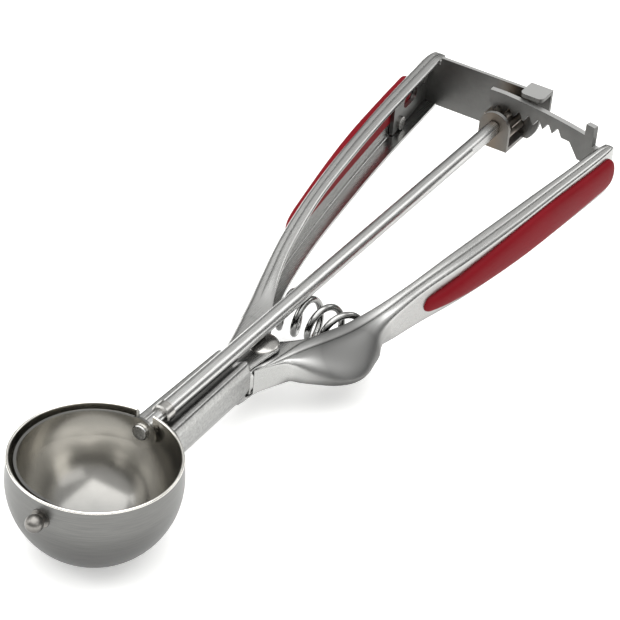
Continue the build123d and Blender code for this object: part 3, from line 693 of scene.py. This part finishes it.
def bowl_finish(centre):
    """Number of the finish for a face: 0 satin outside, 1 polish inside, 2 the rim, with its painted
    highlight.
    """
    if centre.z > RIM_Z - RIM_ROUND * RIM_SHARE:
        return 2
    above = centre.z - BOWL_CENTRE_Z
    reach = math.hypot(math.hypot(centre.x, centre.y), min(above, 0))
    lean = max(above, 0) / (RIM_Z - BOWL_CENTRE_Z) * RIM_LEAN
    return 1 if reach + lean < BOWL_R - WALL / 2 + WALL * INSIDE_SHARE else 0


dress(bowl, bowl_satin, bowl_mirror, rim_highlight_steel)
for face in bowl.data.polygons:
    face.material_index = bowl_finish(face.center)
smooth(bowl, BOWL_CRISP)
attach(bowl, "frame")
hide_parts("bowl")
print("bowl placed")

# %% [markdown]
# ## The spring
#
# A coil is a rule, not a shape: a point that goes round while it moves along. The
# wire is one curve through those points with a round section swept along it by
# Geometry Nodes. Its end turns lie flat along the handles' edges, so the turns near
# each end lean with them.

# %% A tree that sweeps a round wire
WIRE_INPUTS = [("Geometry", "Geometry"), ("Radius", "Float"), ("Sides", "Int"), ("Finish", "Material")]


def geo(tree, kind, values):
    """The first output of a new geometry node."""
    return add_node(tree, "GeometryNode" + kind, values=values).outputs[0]


def wire_tree():
    tree = bpy.data.node_groups.new("swept_wire", "GeometryNodeTree")
    for label, kind in WIRE_INPUTS:
        tree.interface.new_socket(label, in_out="INPUT", socket_type="NodeSocket" + kind)
    tree.interface.new_socket("Geometry", in_out="OUTPUT", socket_type="NodeSocketGeometry")
    given = add_node(tree, "NodeGroupInput").outputs
    ring = geo(tree, "CurvePrimitiveCircle", {"Radius": given["Radius"], "Resolution": given["Sides"]})
    wire = geo(tree, "CurveToMesh", {"Curve": given["Geometry"], "Profile Curve": ring, "Fill Caps": True})
    soft = geo(tree, "SetShadeSmooth", {"Geometry": wire})
    solid = geo(tree, "RealizeInstances", {"Geometry": soft})
    dressed = geo(tree, "SetMaterial", {"Geometry": solid, "Material": given["Finish"]})
    add_node(tree, "NodeGroupOutput", values={"Geometry": dressed})
    return tree


swept_wire = wire_tree()
print("tree:", swept_wire.name)

# %% Run a tree on a line


def line_object(name, points):
    """A curve object with one open line through the points."""
    curve = bpy.data.curves.new(name, "CURVE")
    curve.dimensions = "3D"
    spline = curve.splines.new("POLY")
    spline.points.add(len(points) - 1)
    for target, point in zip(spline.points, points):
        target.co = (*point, 1.0)
    return put_in_scene(name, curve)


def run_tree(obj, tree, values):
    """Run a tree on an object with inputs by name, and keep the result as a mesh."""
    modifier = obj.modifiers.new(tree.name, "NODES")
    modifier.node_group = tree
    for item in tree.interface.items_tree:
        if item.in_out == "INPUT" and item.name in values:
            modifier[item.identifier] = values[item.name]
    graph = bpy.context.evaluated_depsgraph_get()
    mesh = bpy.data.meshes.new_from_object(obj.evaluated_get(graph))
    name = obj.name
    bpy.data.objects.remove(obj)
    return put_in_scene(name, mesh)


print("tree runner ready")

# %% Spring sizes, from the solid
spring_low, spring_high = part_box("spring")
WIRE = 1.85 * MM
WIRE_SIDES = 20
COIL_R = 5.2 * MM
COIL_X = (spring_low.x + spring_high.x) / 2
COIL_Z = spring_high.z - WIRE / 2 - COIL_R
COIL_TURNS = 4.4
CLOSED_TURNS = 0.4
TUCKED_TURNS = 0.25
TURN_STEPS = 48
COIL_PHASE = 0.69
LOW_SLOPE = -0.389
HIGH_SLOPE = 0.417
LOW_Y = spring_low.y + WIRE / 2 + COIL_R * abs(LOW_SLOPE)
HIGH_Y = spring_high.y - WIRE / 2 - COIL_R * abs(HIGH_SLOPE)
print("coil radius", COIL_R, "from", LOW_Y, "to", HIGH_Y)

# %% Wind it


def coil_points():
    """Points of the wire; its last stretch is tucked away behind the fixed handle's edge."""
    open_turns = COIL_TURNS - 2 * CLOSED_TURNS
    points = []
    for i in range(int((COIL_TURNS - TUCKED_TURNS) * TURN_STEPS) + 1):
        done = i / TURN_STEPS
        share = min(max((done - CLOSED_TURNS) / open_turns, 0), 1)
        angle = 2 * math.pi * (done + COIL_PHASE)
        dx = COIL_R * math.cos(angle)
        low = LOW_Y + LOW_SLOPE * dx
        high = HIGH_Y + HIGH_SLOPE * dx
        points.append((COIL_X + dx, low + (high - low) * share, COIL_Z + COIL_R * math.sin(angle)))
    return points


wire_line = line_object("coil_spring", coil_points())
coil = run_tree(wire_line, swept_wire, {"Radius": WIRE / 2, "Sides": WIRE_SIDES, "Finish": spring_wire})
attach(coil, "frame")
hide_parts("spring")
print("spring faces:", len(coil.data.polygons))

# %% [markdown]
# Squeezed, the lever comes nearer by its travel at the spring. The share of its length
# that the coil would keep is worked out and printed, and the coil gets a mesh of its own.

# %% How far the lever would squeeze it
hinge = next(j for j in frame["joints"] if j["name"] == "lever_hinge")
travel = math.radians(hinge["range_deg"][1])
approach = travel * (COIL_X - hinge["pos_m"][0])
coil_length = HIGH_Y - LOW_Y
1 - approach / coil_length
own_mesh(coil)
print("spring keeps", round(1 - approach / coil_length, 3))

# %% [markdown]
# ## The handles
#
# Each handle is one pressing: a channel whose web faces the hand. Its upper flange is
# rolled into a low rib that ends in a crease beside the web, and the lever bulges
# into a lobe that stops the fingers. All of that is one rule: a section that changes
# slowly along the handle. So the sheet is lofted through sections, each worked out
# from four lines: web, free edge, top and bottom.

# %% The lines of the handles, in millimetres
FIXED_WEB = [(56, 5.2), (62, 6.0), (78, 10.4), (95, 15.2), (111, 19.2), (130, 22.4),
             (152, 25.4), (178, 28.2), (200, 30.1), (208, 30.5), (212, 28.9), (213, 26.6)]
FIXED_EDGE = [(76, 0.0), (86, 5.6), (95, 9.6), (107, 13.4), (127, 17.4), (150, 20.2),
              (172, 22.4), (209.5, 25.3), (213, 26.6)]
LEVER_WEB = [(60, -4.5), (66, -7.2), (75, -12.2), (87, -18.4), (98, -21.4), (112, -23.8),
             (130, -28.0), (152, -31.6), (176, -34.4), (194, -36.2), (199.4, -36.0), (200.6, -34.6)]
LEVER_EDGE = [(60, -4.3), (66, -5.9), (72, -6.8), (78, -7.6), (84, -9.8), (92, -13.6), (108, -18.6),
              (127, -22.6), (149, -26.4), (172, -29.9), (197.5, -33.4), (200.6, -34.6)]
LEVER_SIDE = [(60, -4.5), (66, -7.6), (70, -10.8), (73, -16.0), (76, -21.2), (79.5, -24.2), (83.5, -25.1),
              (89, -24.3), (96, -23.2), (105, -22.9), (112, -23.8)]
RISE = [(50, 0.0), (80, 0.0), (95, 1.4), (110, 3.8), (130, 6.8), (160, 9.4), (190, 11.0), (216, 12.0)]
FIXED_FALL = [(50, 0.0), (80, 0.0), (100, 0.4), (130, 1.8), (160, 3.8), (190, 5.6), (216, 6.6)]
LEVER_FALL = [(50, 0.0), (80, 0.0), (100, 0.3), (130, 0.8), (160, 2.0), (190, 3.6), (216, 4.8)]
SHEET = 1.0
FIXED_LEVELS = (-3.8, -13.8)
LEVER_LEVELS = (-5.15, -12.45)


def follow(points, x):
    """Height of a smooth line through the points, at x."""
    x = min(max(x, points[0][0]), points[-1][0])
    i = max(k for k in range(len(points) - 1) if points[k][0] <= x)
    (x0, y0), (x1, y1) = points[i], points[i + 1]
    before = points[max(i - 1, 0)]
    after = points[min(i + 2, len(points) - 1)]
    slope0 = (y1 - before[1]) / (x1 - before[0])
    slope1 = (after[1] - y0) / (after[0] - x0)
    width = x1 - x0
    t = (x - x0) / width
    return ((2 * t ** 3 - 3 * t ** 2 + 1) * y0 + (t ** 3 - 2 * t ** 2 + t) * width * slope0
            + (3 * t ** 2 - 2 * t ** 3) * y1 + (t ** 3 - t ** 2) * width * slope1)


print("web of the lever at 150 mm:", round(follow(LEVER_WEB, 150), 2))

# %% [markdown]
# One section runs from the free edge of the upper flange over the rib, down into the
# crease, across to the web, down the web and back under it. A second line one sheet
# further in closes it. Plain section and lobe have the same number of points, so one
# can change into the other along the lever.

# %% Plain side and lobe of a section
FLAT_STEPS = 4
TOP_STEPS = 8
WEB_STEPS = 12
LOW_STEPS = 8
DOME_STEPS = 19
TIP_STEPS = 6
SIDE_STEPS = FLAT_STEPS + TOP_STEPS + WEB_STEPS + LOW_STEPS
UNDER_STEPS = SIDE_STEPS - DOME_STEPS - TIP_STEPS
DOME_FALL = 1.5
DOME_FULLNESS = 0.62
LOBE_TIP_RISE = 2.2
LOBE_UNDERCUT = 3.0


def quarter(k, steps):
    """Angle of step k on a quarter turn."""
    return math.pi / 2 * k / steps


def channel_side(start, web, top, bottom, corner):
    """Plain section from the crease over the web to the lower corner."""
    middle = web - corner
    side = [(start + (middle - start) * k / FLAT_STEPS, top) for k in range(FLAT_STEPS + 1)]
    for k in range(1, TOP_STEPS + 1):
        a = quarter(k, TOP_STEPS)
        side.append((middle + corner * math.sin(a), top - corner + corner * math.cos(a)))
    for k in range(1, WEB_STEPS):
        side.append((web, top - corner + (bottom - top + 2 * corner) * k / WEB_STEPS))
    for k in range(LOW_STEPS + 1):
        a = quarter(k, LOW_STEPS)
        side.append((middle + corner * math.cos(a), bottom + corner - corner * math.sin(a)))
    return side


def lobe_side(start, tip, end, top, bottom):
    """Bulging section that falls from the crease to the tip and turns under."""
    low = bottom + LOBE_TIP_RISE
    side = []
    for k in range(DOME_STEPS + 1):
        share = math.sin(quarter(k, DOME_STEPS))
        height = (1 - share ** DOME_FALL) ** DOME_FULLNESS
        side.append((start + (tip - start) * share, low + (top - low) * height))
    for k in range(1, TIP_STEPS + 1):
        a = quarter(k, TIP_STEPS)
        side.append((tip - LOBE_UNDERCUT * (1 - math.cos(a)), low - (low - bottom) * math.sin(a)))
    under = tip - LOBE_UNDERCUT
    return side + [(under + (end - under) * k / UNDER_STEPS, bottom) for k in range(1, UNDER_STEPS + 1)]


print("steps along each side:", SIDE_STEPS)

# %% The rolled edge
RIB_WIDTH = 4.4
RIB_SHARE = 0.56
RIB_HEIGHT = 0.7
RIB_STEPS = 14
EDGE_DROP = 0.2
CREASE_DEPTH = 0.06
CREASE_WIDTH = 0.15
CREASE_SHARE = 0.05
CREASE_STEP = 0.02


def rolled_edge(edge, roll, top, rib):
    """The rib from the free edge to the crease; rib is 1 where it is full, 0 where it is gone."""
    line = []
    for k in range(RIB_STEPS + 1):
        a = math.pi * k / RIB_STEPS
        foot = EDGE_DROP if k < RIB_STEPS / 2 else CREASE_DEPTH * rib
        height = RIB_HEIGHT * rib + foot
        line.append((edge + roll * (1 - math.cos(a)) / 2, top - foot + height * math.sin(a)))
    return line


print("rib width", RIB_WIDTH, "mm")

# %% One section of a handle
EDGE_ROUND = 2.2
CORNER_SHARE = 0.8
CORNER_HEIGHT_SHARE = 0.42
LOBE_BAND = 1.4
LOBE_GROWS = (0.2, 4.0)
RETURN_STEPS = 5


def smooth_step(low, high, value):
    t = min(max((value - low) / (high - low), 0), 1)
    return t * t * (3 - 2 * t)


def outer_line(edge, web, top, bottom, rib, bulge):
    """Outer side of the section as (u, z), with u growing towards the web."""
    wide = web - edge
    roll = min(RIB_WIDTH, RIB_SHARE * wide)
    crease = min(CREASE_WIDTH, CREASE_SHARE * wide)
    start = edge + roll + 2 * crease
    corner = min(EDGE_ROUND, CORNER_SHARE * (web - start), CORNER_HEIGHT_SHARE * (top - bottom))
    flat = top - CREASE_STEP
    share = smooth_step(*LOBE_GROWS, bulge)
    plain = channel_side(start, web, flat, bottom, corner)
    lobe = lobe_side(start + LOBE_BAND * share, web + bulge, web - corner, flat, bottom)
    line = rolled_edge(edge, roll, top, rib) + [(edge + roll + crease, flat)]
    line += [(u + (v - u) * share, z + (w - z) * share) for (u, z), (v, w) in zip(plain, lobe)]
    back = edge - web + corner
    return line + [(web - corner + back * k / RETURN_STEPS, bottom) for k in range(1, RETURN_STEPS + 1)]


def inner_line(line, thickness):
    """The same line one sheet further in."""
    moved = []
    last = len(line) - 1
    for i, (u, z) in enumerate(line):
        ua, za = line[max(i - 1, 0)]
        ub, zb = line[min(i + 1, last)]
        length = math.hypot(ub - ua, zb - za)
        moved.append((u + (zb - za) / length * thickness, z - (ub - ua) / length * thickness))
    return moved


print("sheet", SHEET, "mm, corners rounded by", EDGE_ROUND, "mm")

# %% [markdown]
# The sections are a millimetre apart, closer at the rear, where the channel closes in
# a rounded end: there the web turns in and the top and bottom draw together.

# %% Sections and strips
FIXED_START = 78
LEVER_START = 61
REAR_ROUND = 3.0
REAR_GAP = 0.4
REAR_STEPS = 12


def stations(x0, x1):
    """Places of the sections along the handle."""
    steps = int(x1 - x0 - REAR_ROUND)
    left = x1 - x0 - steps
    closing = [x0 + steps + left * math.sin(quarter(k, REAR_STEPS)) for k in range(1, REAR_STEPS - 1)]
    return [x0 + k for k in range(steps + 1)] + closing + [x1 - REAR_GAP]


def closed_strip(name, rings):
    """Closed mesh from rings of equal length, with both ends filled between the two lines."""
    shape = bmesh.new()
    rows = [[shape.verts.new(point) for point in ring] for ring in rings]
    count = len(rows[0])
    for low, high in zip(rows, rows[1:]):
        for k in range(count):
            shape.faces.new([low[k], low[(k + 1) % count], high[(k + 1) % count], high[k]])
    for row in (rows[0], rows[-1]):
        for k in range(count // 2 - 1):
            shape.faces.new([row[k], row[k + 1], row[count - 2 - k], row[count - 1 - k]])
    return closed_object(name, shape)


print("sections along the lever:", len(stations(LEVER_START, LEVER_WEB[-1][0])))

# %% Loft the handles
REAR_FALL = 4.2
REAR_LIFT = 2.0
WEB_COVER = 0.07
LEAST_WIDTH = 0.3
THIN_SHARE = 0.3
FIXED_RIB_START = 84
LEVER_RIB_START = 62
RIB_RUN = 14
RIB_STOP = (7, 1)


def loft_handle(name, side, x0, lines, levels, rib_start, side_line=None):
    """Loft one handle; side is 1 for the fixed handle and -1 for the lever."""
    edge_line, web_line, fall = lines
    x1 = web_line[-1][0]
    rings = []
    for x in stations(x0, x1):
        edge, web = side * follow(edge_line, x), side * follow(web_line, x)
        web = max(web, edge + LEAST_WIDTH) + WEB_COVER
        turned = max((x - x1 + REAR_ROUND) / REAR_ROUND, 0)
        closed = 1 - math.sqrt(max(1 - turned ** 2, 0))
        top = levels[0] + follow(RISE, x) - closed * REAR_FALL
        bottom = levels[1] + follow(fall, x) + closed * REAR_LIFT
        rib = smooth_step(rib_start, rib_start + RIB_RUN, x)
        rib *= 1 - smooth_step(x1 - RIB_STOP[0], x1 - RIB_STOP[1], x)
        bulge = side * follow(side_line, x) - web if side_line and x < side_line[-1][0] else 0
        outer = outer_line(edge, web, top, bottom, rib, max(bulge, 0))
        thick = min(SHEET, THIN_SHARE * (web - edge))
        ring = outer + list(reversed(inner_line(outer, thick)))
        rings.append([(x * MM, side * u * MM, z * MM) for u, z in ring])
    return closed_strip(name, rings)


fixed_lines = (FIXED_EDGE, FIXED_WEB, FIXED_FALL)
lever_lines = (LEVER_EDGE, LEVER_WEB, LEVER_FALL)
fixed_skin = loft_handle("fixed_skin", 1, FIXED_START, fixed_lines, FIXED_LEVELS, FIXED_RIB_START)
lever_skin = loft_handle("lever_skin", -1, LEVER_START, lever_lines, LEVER_LEVELS, LEVER_RIB_START,
                         LEVER_SIDE)
print("lofts:", len(fixed_skin.data.polygons), len(lever_skin.data.polygons))

# %% [markdown]
# ## Neck, saddle and ears
#
# The front of each handle keeps the solid's shape, cut off behind the hinge. A press
# leaves no sharp corner on sheet, so this part is remeshed into small even faces and
# smoothed, which rounds its edges, and then joined to the lofted channel.

# %% Tools for the fronts
VOXEL = 0.3 * MM
ROUNDING = 0.5
MERGE = 0.002 * MM
ABOVE_ALL = 60


def copy_solid(node, name):
    """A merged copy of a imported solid; the solid itself is left alone."""
    shape = bmesh.new()
    shape.from_mesh(nodes[node].data)
    bmesh.ops.remove_doubles(shape, verts=shape.verts, dist=MERGE)
    return shape_object(name, shape)


def keeper(corners):
    """Tall box over a rectangle given by two corners, in millimetres."""
    (x0, y0), (x1, y1) = corners
    upright = [(x0, -ABOVE_ALL), (x1, -ABOVE_ALL), (x1, ABOVE_ALL), (x0, ABOVE_ALL)]
    start, end = ([(x * MM, y * MM, z * MM) for x, z in upright] for y in (y0, y1))
    return extrude("keeper", start, end)


def soften(obj, rounds):
    """Even small faces and rounded edges."""
    remesh = obj.modifiers.new("skin", "REMESH")
    remesh.mode = "VOXEL"
    remesh.voxel_size = VOXEL
    rounding = obj.modifiers.new("soften", "SMOOTH")
    rounding.factor = ROUNDING
    rounding.iterations = rounds
    bake(obj)


def join(base, other):
    """Add the other object's mesh to the base and drop the other object."""
    shape = bmesh.new()
    shape.from_mesh(base.data)
    shape.from_mesh(other.data)
    bpy.data.objects.remove(other)
    shape.to_mesh(base.data)
    shape.free()


print("remeshed to", VOXEL)

# %% Soft fronts
FIXED_FRONT = ((0, -15), (79.5, 20))
LEVER_FRONT = ((55, -9.6), (82, 20))
FIXED_ROUNDS = 30
LEVER_ROUNDS = 4
HANDLE_CRISP = 40


def dress_handle(skin, node, corners, body, rounds):
    front = copy_solid(node, "front")
    combine(front, keeper(corners), "INTERSECT")
    soften(front, rounds)
    join(skin, front)
    smooth(skin, HANDLE_CRISP)
    dress(skin, handle_steel)
    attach(skin, body)
    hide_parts(node)


dress_handle(fixed_skin, "fixed_handle", FIXED_FRONT, "frame", FIXED_ROUNDS)
dress_handle(lever_skin, "lever_handle", LEVER_FRONT, "lever", LEVER_ROUNDS)
print("handles:", len(fixed_skin.data.polygons), len(lever_skin.data.polygons))

# %% [markdown]
# ## The grips
#
# Each grip is a leaf of rubber moulded through a window in the web. Its section is a
# flat oval cap on a core that goes through the sheet, lofted from the tip to the heel.
# The sheet runs on inside the rubber, where nothing shows, so no window is cut.

# %% Outline of a grip
# Each leaf: x and z of its tip, x and slope of its heel, half height and lift of its belly.
FIXED_LEAF = ((116, -2.9), (198, 0.044), (5.0, 1.3))
LEVER_LEAF = ((113.5, -6.8), (198.5, 0.058), (5.4, 1.1))
TIP_R = 2.2
HEEL_R = 4.8
BELLY_AT = 0.62


def leaf_height(leaf, x):
    """Middle and half height of the leaf at x; its belly lies higher than its ends."""
    (x0, z0), (x1, slope), (belly, lift) = leaf
    a, b = x0 + TIP_R, x1 - HEEL_R
    share = (x - a) / (b - a)
    if x < a:
        half = math.sqrt(max(TIP_R ** 2 - (a - x) ** 2, 0))
    elif x > b:
        half = math.sqrt(max(HEEL_R ** 2 - (x - b) ** 2, 0))
    elif share < BELLY_AT:
        half = TIP_R + (belly - TIP_R) * math.sin(math.pi / 2 * share / BELLY_AT)
    else:
        half = belly + (HEEL_R - belly) * smooth_step(BELLY_AT, 1, share)
    rise = lift * smooth_step(0, BELLY_AT, (x - x0) / (x1 - x0))
    return z0 + (x - x0) * slope + rise, half


print("grip half height at 150 mm:", round(leaf_height(LEVER_LEAF, 150)[1], 2))

# %% Soft grips
GRIP_PROUD = 2.3
GRIP_EDGE = 0.12
CAP_FULLNESS = 0.62
CAP_STEPS = 28
CORE_COVER = 0.05
TIP_RUN = 9.0
TIP_FULLNESS = 0.8
HEEL_RUN = 3.5
LEAF_STEPS = 120
LEAF_SHARE = 0.9998
GRIP_CRISP = 50


def rounded(x):
    """Rise of a quarter circle: 0 at 0, 1 from 1 on."""
    return math.sqrt(1 - (1 - min(max(x, 0), 1)) ** 2)


def grip_section(web, middle, half, swell):
    """Cap and core of the grip as (u, z); swell is how far the cap stands proud."""
    angles = (math.pi * k / CAP_STEPS for k in range(CAP_STEPS + 1))
    cap = [(web - GRIP_EDGE + (swell + GRIP_EDGE) * math.sin(a) ** CAP_FULLNESS, middle + half * math.cos(a))
           for a in angles]
    depth = web - SHEET - CORE_COVER
    return cap + [(depth, middle + half * (2 * k / CAP_STEPS - 1)) for k in range(CAP_STEPS + 1)]


def loft_grip(name, leaf, web_line, side):
    x0, x1 = leaf[0][0], leaf[1][0]
    rings = []
    for k in range(LEAF_STEPS + 1):
        x = (x0 + x1) / 2 - (x1 - x0) / 2 * math.cos(math.pi * k / LEAF_STEPS) * LEAF_SHARE
        middle, half = leaf_height(leaf, x)
        swell = GRIP_PROUD * rounded((x - x0) / TIP_RUN) ** TIP_FULLNESS * rounded((x1 - x) / HEEL_RUN)
        section = grip_section(side * follow(web_line, x), middle, half, swell)
        rings.append([(x * MM, side * u * MM, z * MM) for u, z in section])
    return closed_strip(name, rings)


def dress_grip(node, name, leaf, web_line, side, body):
    grip = loft_grip(name, leaf, web_line, side)
    smooth(grip, GRIP_CRISP)
    dress(grip, red_rubber)
    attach(grip, body)
    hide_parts(node)
    return grip


fixed_pad = dress_grip("fixed_grip", "fixed_pad", FIXED_LEAF, FIXED_WEB, 1, "frame")
lever_pad = dress_grip("lever_grip", "lever_pad", LEVER_LEAF, LEVER_WEB, -1, "lever")
print("grips:", len(fixed_pad.data.polygons), len(lever_pad.data.polygons))

# %% [markdown]
# ## The hinge rivet
#
# A rivet is turned stock with a head hammered over a snap tool, so it is another
# lathe profile: a low dome above, the shank, and the same dome below.

# %% Turn the rivet
rivet_low, rivet_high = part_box("hinge_rivet")
RIVET_CENTRE = ((rivet_low.x + rivet_high.x) / 2, (rivet_low.y + rivet_high.y) / 2, 0)
RIVET_HEAD = 1.0 * MM
RIVET_HEAD_R = 4.5 * MM
RIVET_SHANK_R = 1.95 * MM
HEAD_STEPS = 12
RIVET_STEPS = 64
RIVET_CRISP = 50


def rivet_profile():
    neck, foot = rivet_high.z - RIVET_HEAD, rivet_low.z + RIVET_HEAD
    angles = [quarter(k, HEAD_STEPS) for k in range(HEAD_STEPS + 1)]
    dome = [(RIVET_HEAD_R * math.sin(a), RIVET_HEAD * math.cos(a)) for a in angles]
    upper = [(r, neck + z) for r, z in dome]
    lower = [(r, foot - z) for r, z in reversed(dome)]
    return upper + [(RIVET_SHANK_R, neck), (RIVET_SHANK_R, foot)] + lower


rivet = turn("domed_rivet", rivet_profile(), RIVET_STEPS)
rivet.data.transform(Matrix.Translation(RIVET_CENTRE))
smooth(rivet, RIVET_CRISP)
dress(rivet, pin_steel)
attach(rivet, "frame")
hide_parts("hinge_rivet")
print("rivet faces:", len(rivet.data.polygons))

# %% [markdown]
# ## Floor, light and camera
#
# The scoop stands on its bowl on a plain pale floor under soft studio light. The
# floor is a matt sheet of paper that glows a little, which keeps the shadows faint.

# %% Floor
FLOOR_HALF = 3.0
FLOOR_GAP = 0.1 * MM
PAPER_LIGHT = (0.94, 0.94, 0.93)
PAPER_DARK = (0.92, 0.92, 0.91)
PAPER_ROUGH = 0.9
PAPER_FIBRE = (400, 400, 400)
PAPER_GLOW = 0.4


def paper():
    sheet = Finish("floor_paper", PAPER_LIGHT, PAPER_ROUGH, metallic=0.0)
    sheet.set("Base Color", sheet.mix(PAPER_DARK, PAPER_LIGHT, sheet.noise(PAPER_FIBRE, 2.0)))
    sheet.set("Emission Color", (1.0, 1.0, 0.99))
    sheet.set("Emission Strength", PAPER_GLOW)
    return sheet.material


def lay_floor():
    level = solid_box[0][2] - FLOOR_GAP
    corners = [(x * FLOOR_HALF, y * FLOOR_HALF, level) for x, y in ((-1, -1), (1, -1), (1, 1), (-1, 1))]
    mesh = bpy.data.meshes.new("floor")
    mesh.from_pydata(corners, [], [(0, 1, 2, 3)])
    obj = put_in_scene("floor", mesh)
    dress(obj, paper())
    return obj


floor = lay_floor()
print("floor at", floor.data.vertices[0].co.z)

# %% [markdown]
# Metal shows what surrounds it, so the room matters as much as the lamps: pale above
# and darker low down, so that round bars get a dark line along them. Four soft boxes
# stand round the scoop, the largest above it.

# %% Room and lamps
ROOM_STOPS = [(0.05, (0.10, 0.10, 0.099)), (0.35, (0.28, 0.28, 0.2772)), (0.6, (0.75, 0.75, 0.7425))]
ROOM_STRENGTH = 1.0
AIM = (0.09, 0, 0)
# Each soft box: its place, what it is aimed at, its two sides and its power.
SOFT_BOXES = {
    "top_box": ((-0.15, 0.0, 0.9), (-0.15, 0, 0), (1.3, 1.3), 10.5),
    "far_box": ((0.95, -0.475, 0.69), AIM, (0.5, 0.35), 0.9),
    "left_box": ((-0.35, 0.65, 0.35), AIM, (0.5, 0.5), 1.4),
    "front_box": ((-0.2, -0.75, 0.4), AIM, (0.6, 0.4), 0.6),
}


def room():
    scene.world = bpy.data.worlds.new("room")
    scene.world.use_nodes = True
    tree = scene.world.node_tree
    way = add_node(tree, "ShaderNodeTexCoord").outputs["Generated"]
    height = add_node(tree, "ShaderNodeSeparateXYZ", values={0: way}).outputs["Z"]
    tone = add_node(tree, "ShaderNodeValToRGB", {"stops": ROOM_STOPS}, {"Fac": height}).outputs[0]
    background = tree.nodes["Background"]
    plug(tree, background.inputs["Color"], tone)
    plug(tree, background.inputs["Strength"], ROOM_STRENGTH)


def softbox(name, place, target, size, power):
    lamp = bpy.data.lights.new(name, "AREA")
    lamp.shape = "RECTANGLE"
    lamp.size, lamp.size_y = size
    lamp.energy = power
    way = Vector(target) - Vector(place)
    turned = way.to_track_quat("-Z", "Y").to_matrix().to_4x4()
    put_in_scene(name, lamp).matrix_world = Matrix.Translation(place) @ turned


room()
for name, (spot, aim, size, power) in SOFT_BOXES.items():
    softbox(name, spot, aim, size, power)
print("room lit by", len(SOFT_BOXES), "soft boxes")

# %% [markdown]
# The camera stands off in front of the bowl, a little to the lever's side, and looks
# down at the scoop with a long lens, so the handles run away to the upper right.

# %% Camera
CAMERA_PLACE = (-361.76 * MM, -252.58 * MM, 362.31 * MM)
CAMERA_RIGHT = Vector((0.52676, -0.84686, 0.07318))
CAMERA_UP = Vector((0.46102, 0.35696, 0.81243))
LENS = 142.15
SENSOR = 36
FAR_CLIP = 10


def set_camera():
    data = bpy.data.cameras.new("camera")
    data.lens = LENS
    data.sensor_width = SENSOR
    data.clip_end = FAR_CLIP
    obj = put_in_scene("camera", data)
    back = CAMERA_RIGHT.cross(CAMERA_UP)
    turned = Matrix((CAMERA_RIGHT, CAMERA_UP, back)).transposed().to_4x4()
    obj.matrix_world = Matrix.Translation(CAMERA_PLACE) @ turned
    scene.camera = obj
    return obj


camera = set_camera()
scene.view_settings.view_transform = "Standard"
print("camera at", camera.location)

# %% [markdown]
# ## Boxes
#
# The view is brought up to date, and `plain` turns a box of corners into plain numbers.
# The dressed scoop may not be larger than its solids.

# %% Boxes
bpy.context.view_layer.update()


def plain(box):
    return [[float(part) for part in corner] for corner in box]
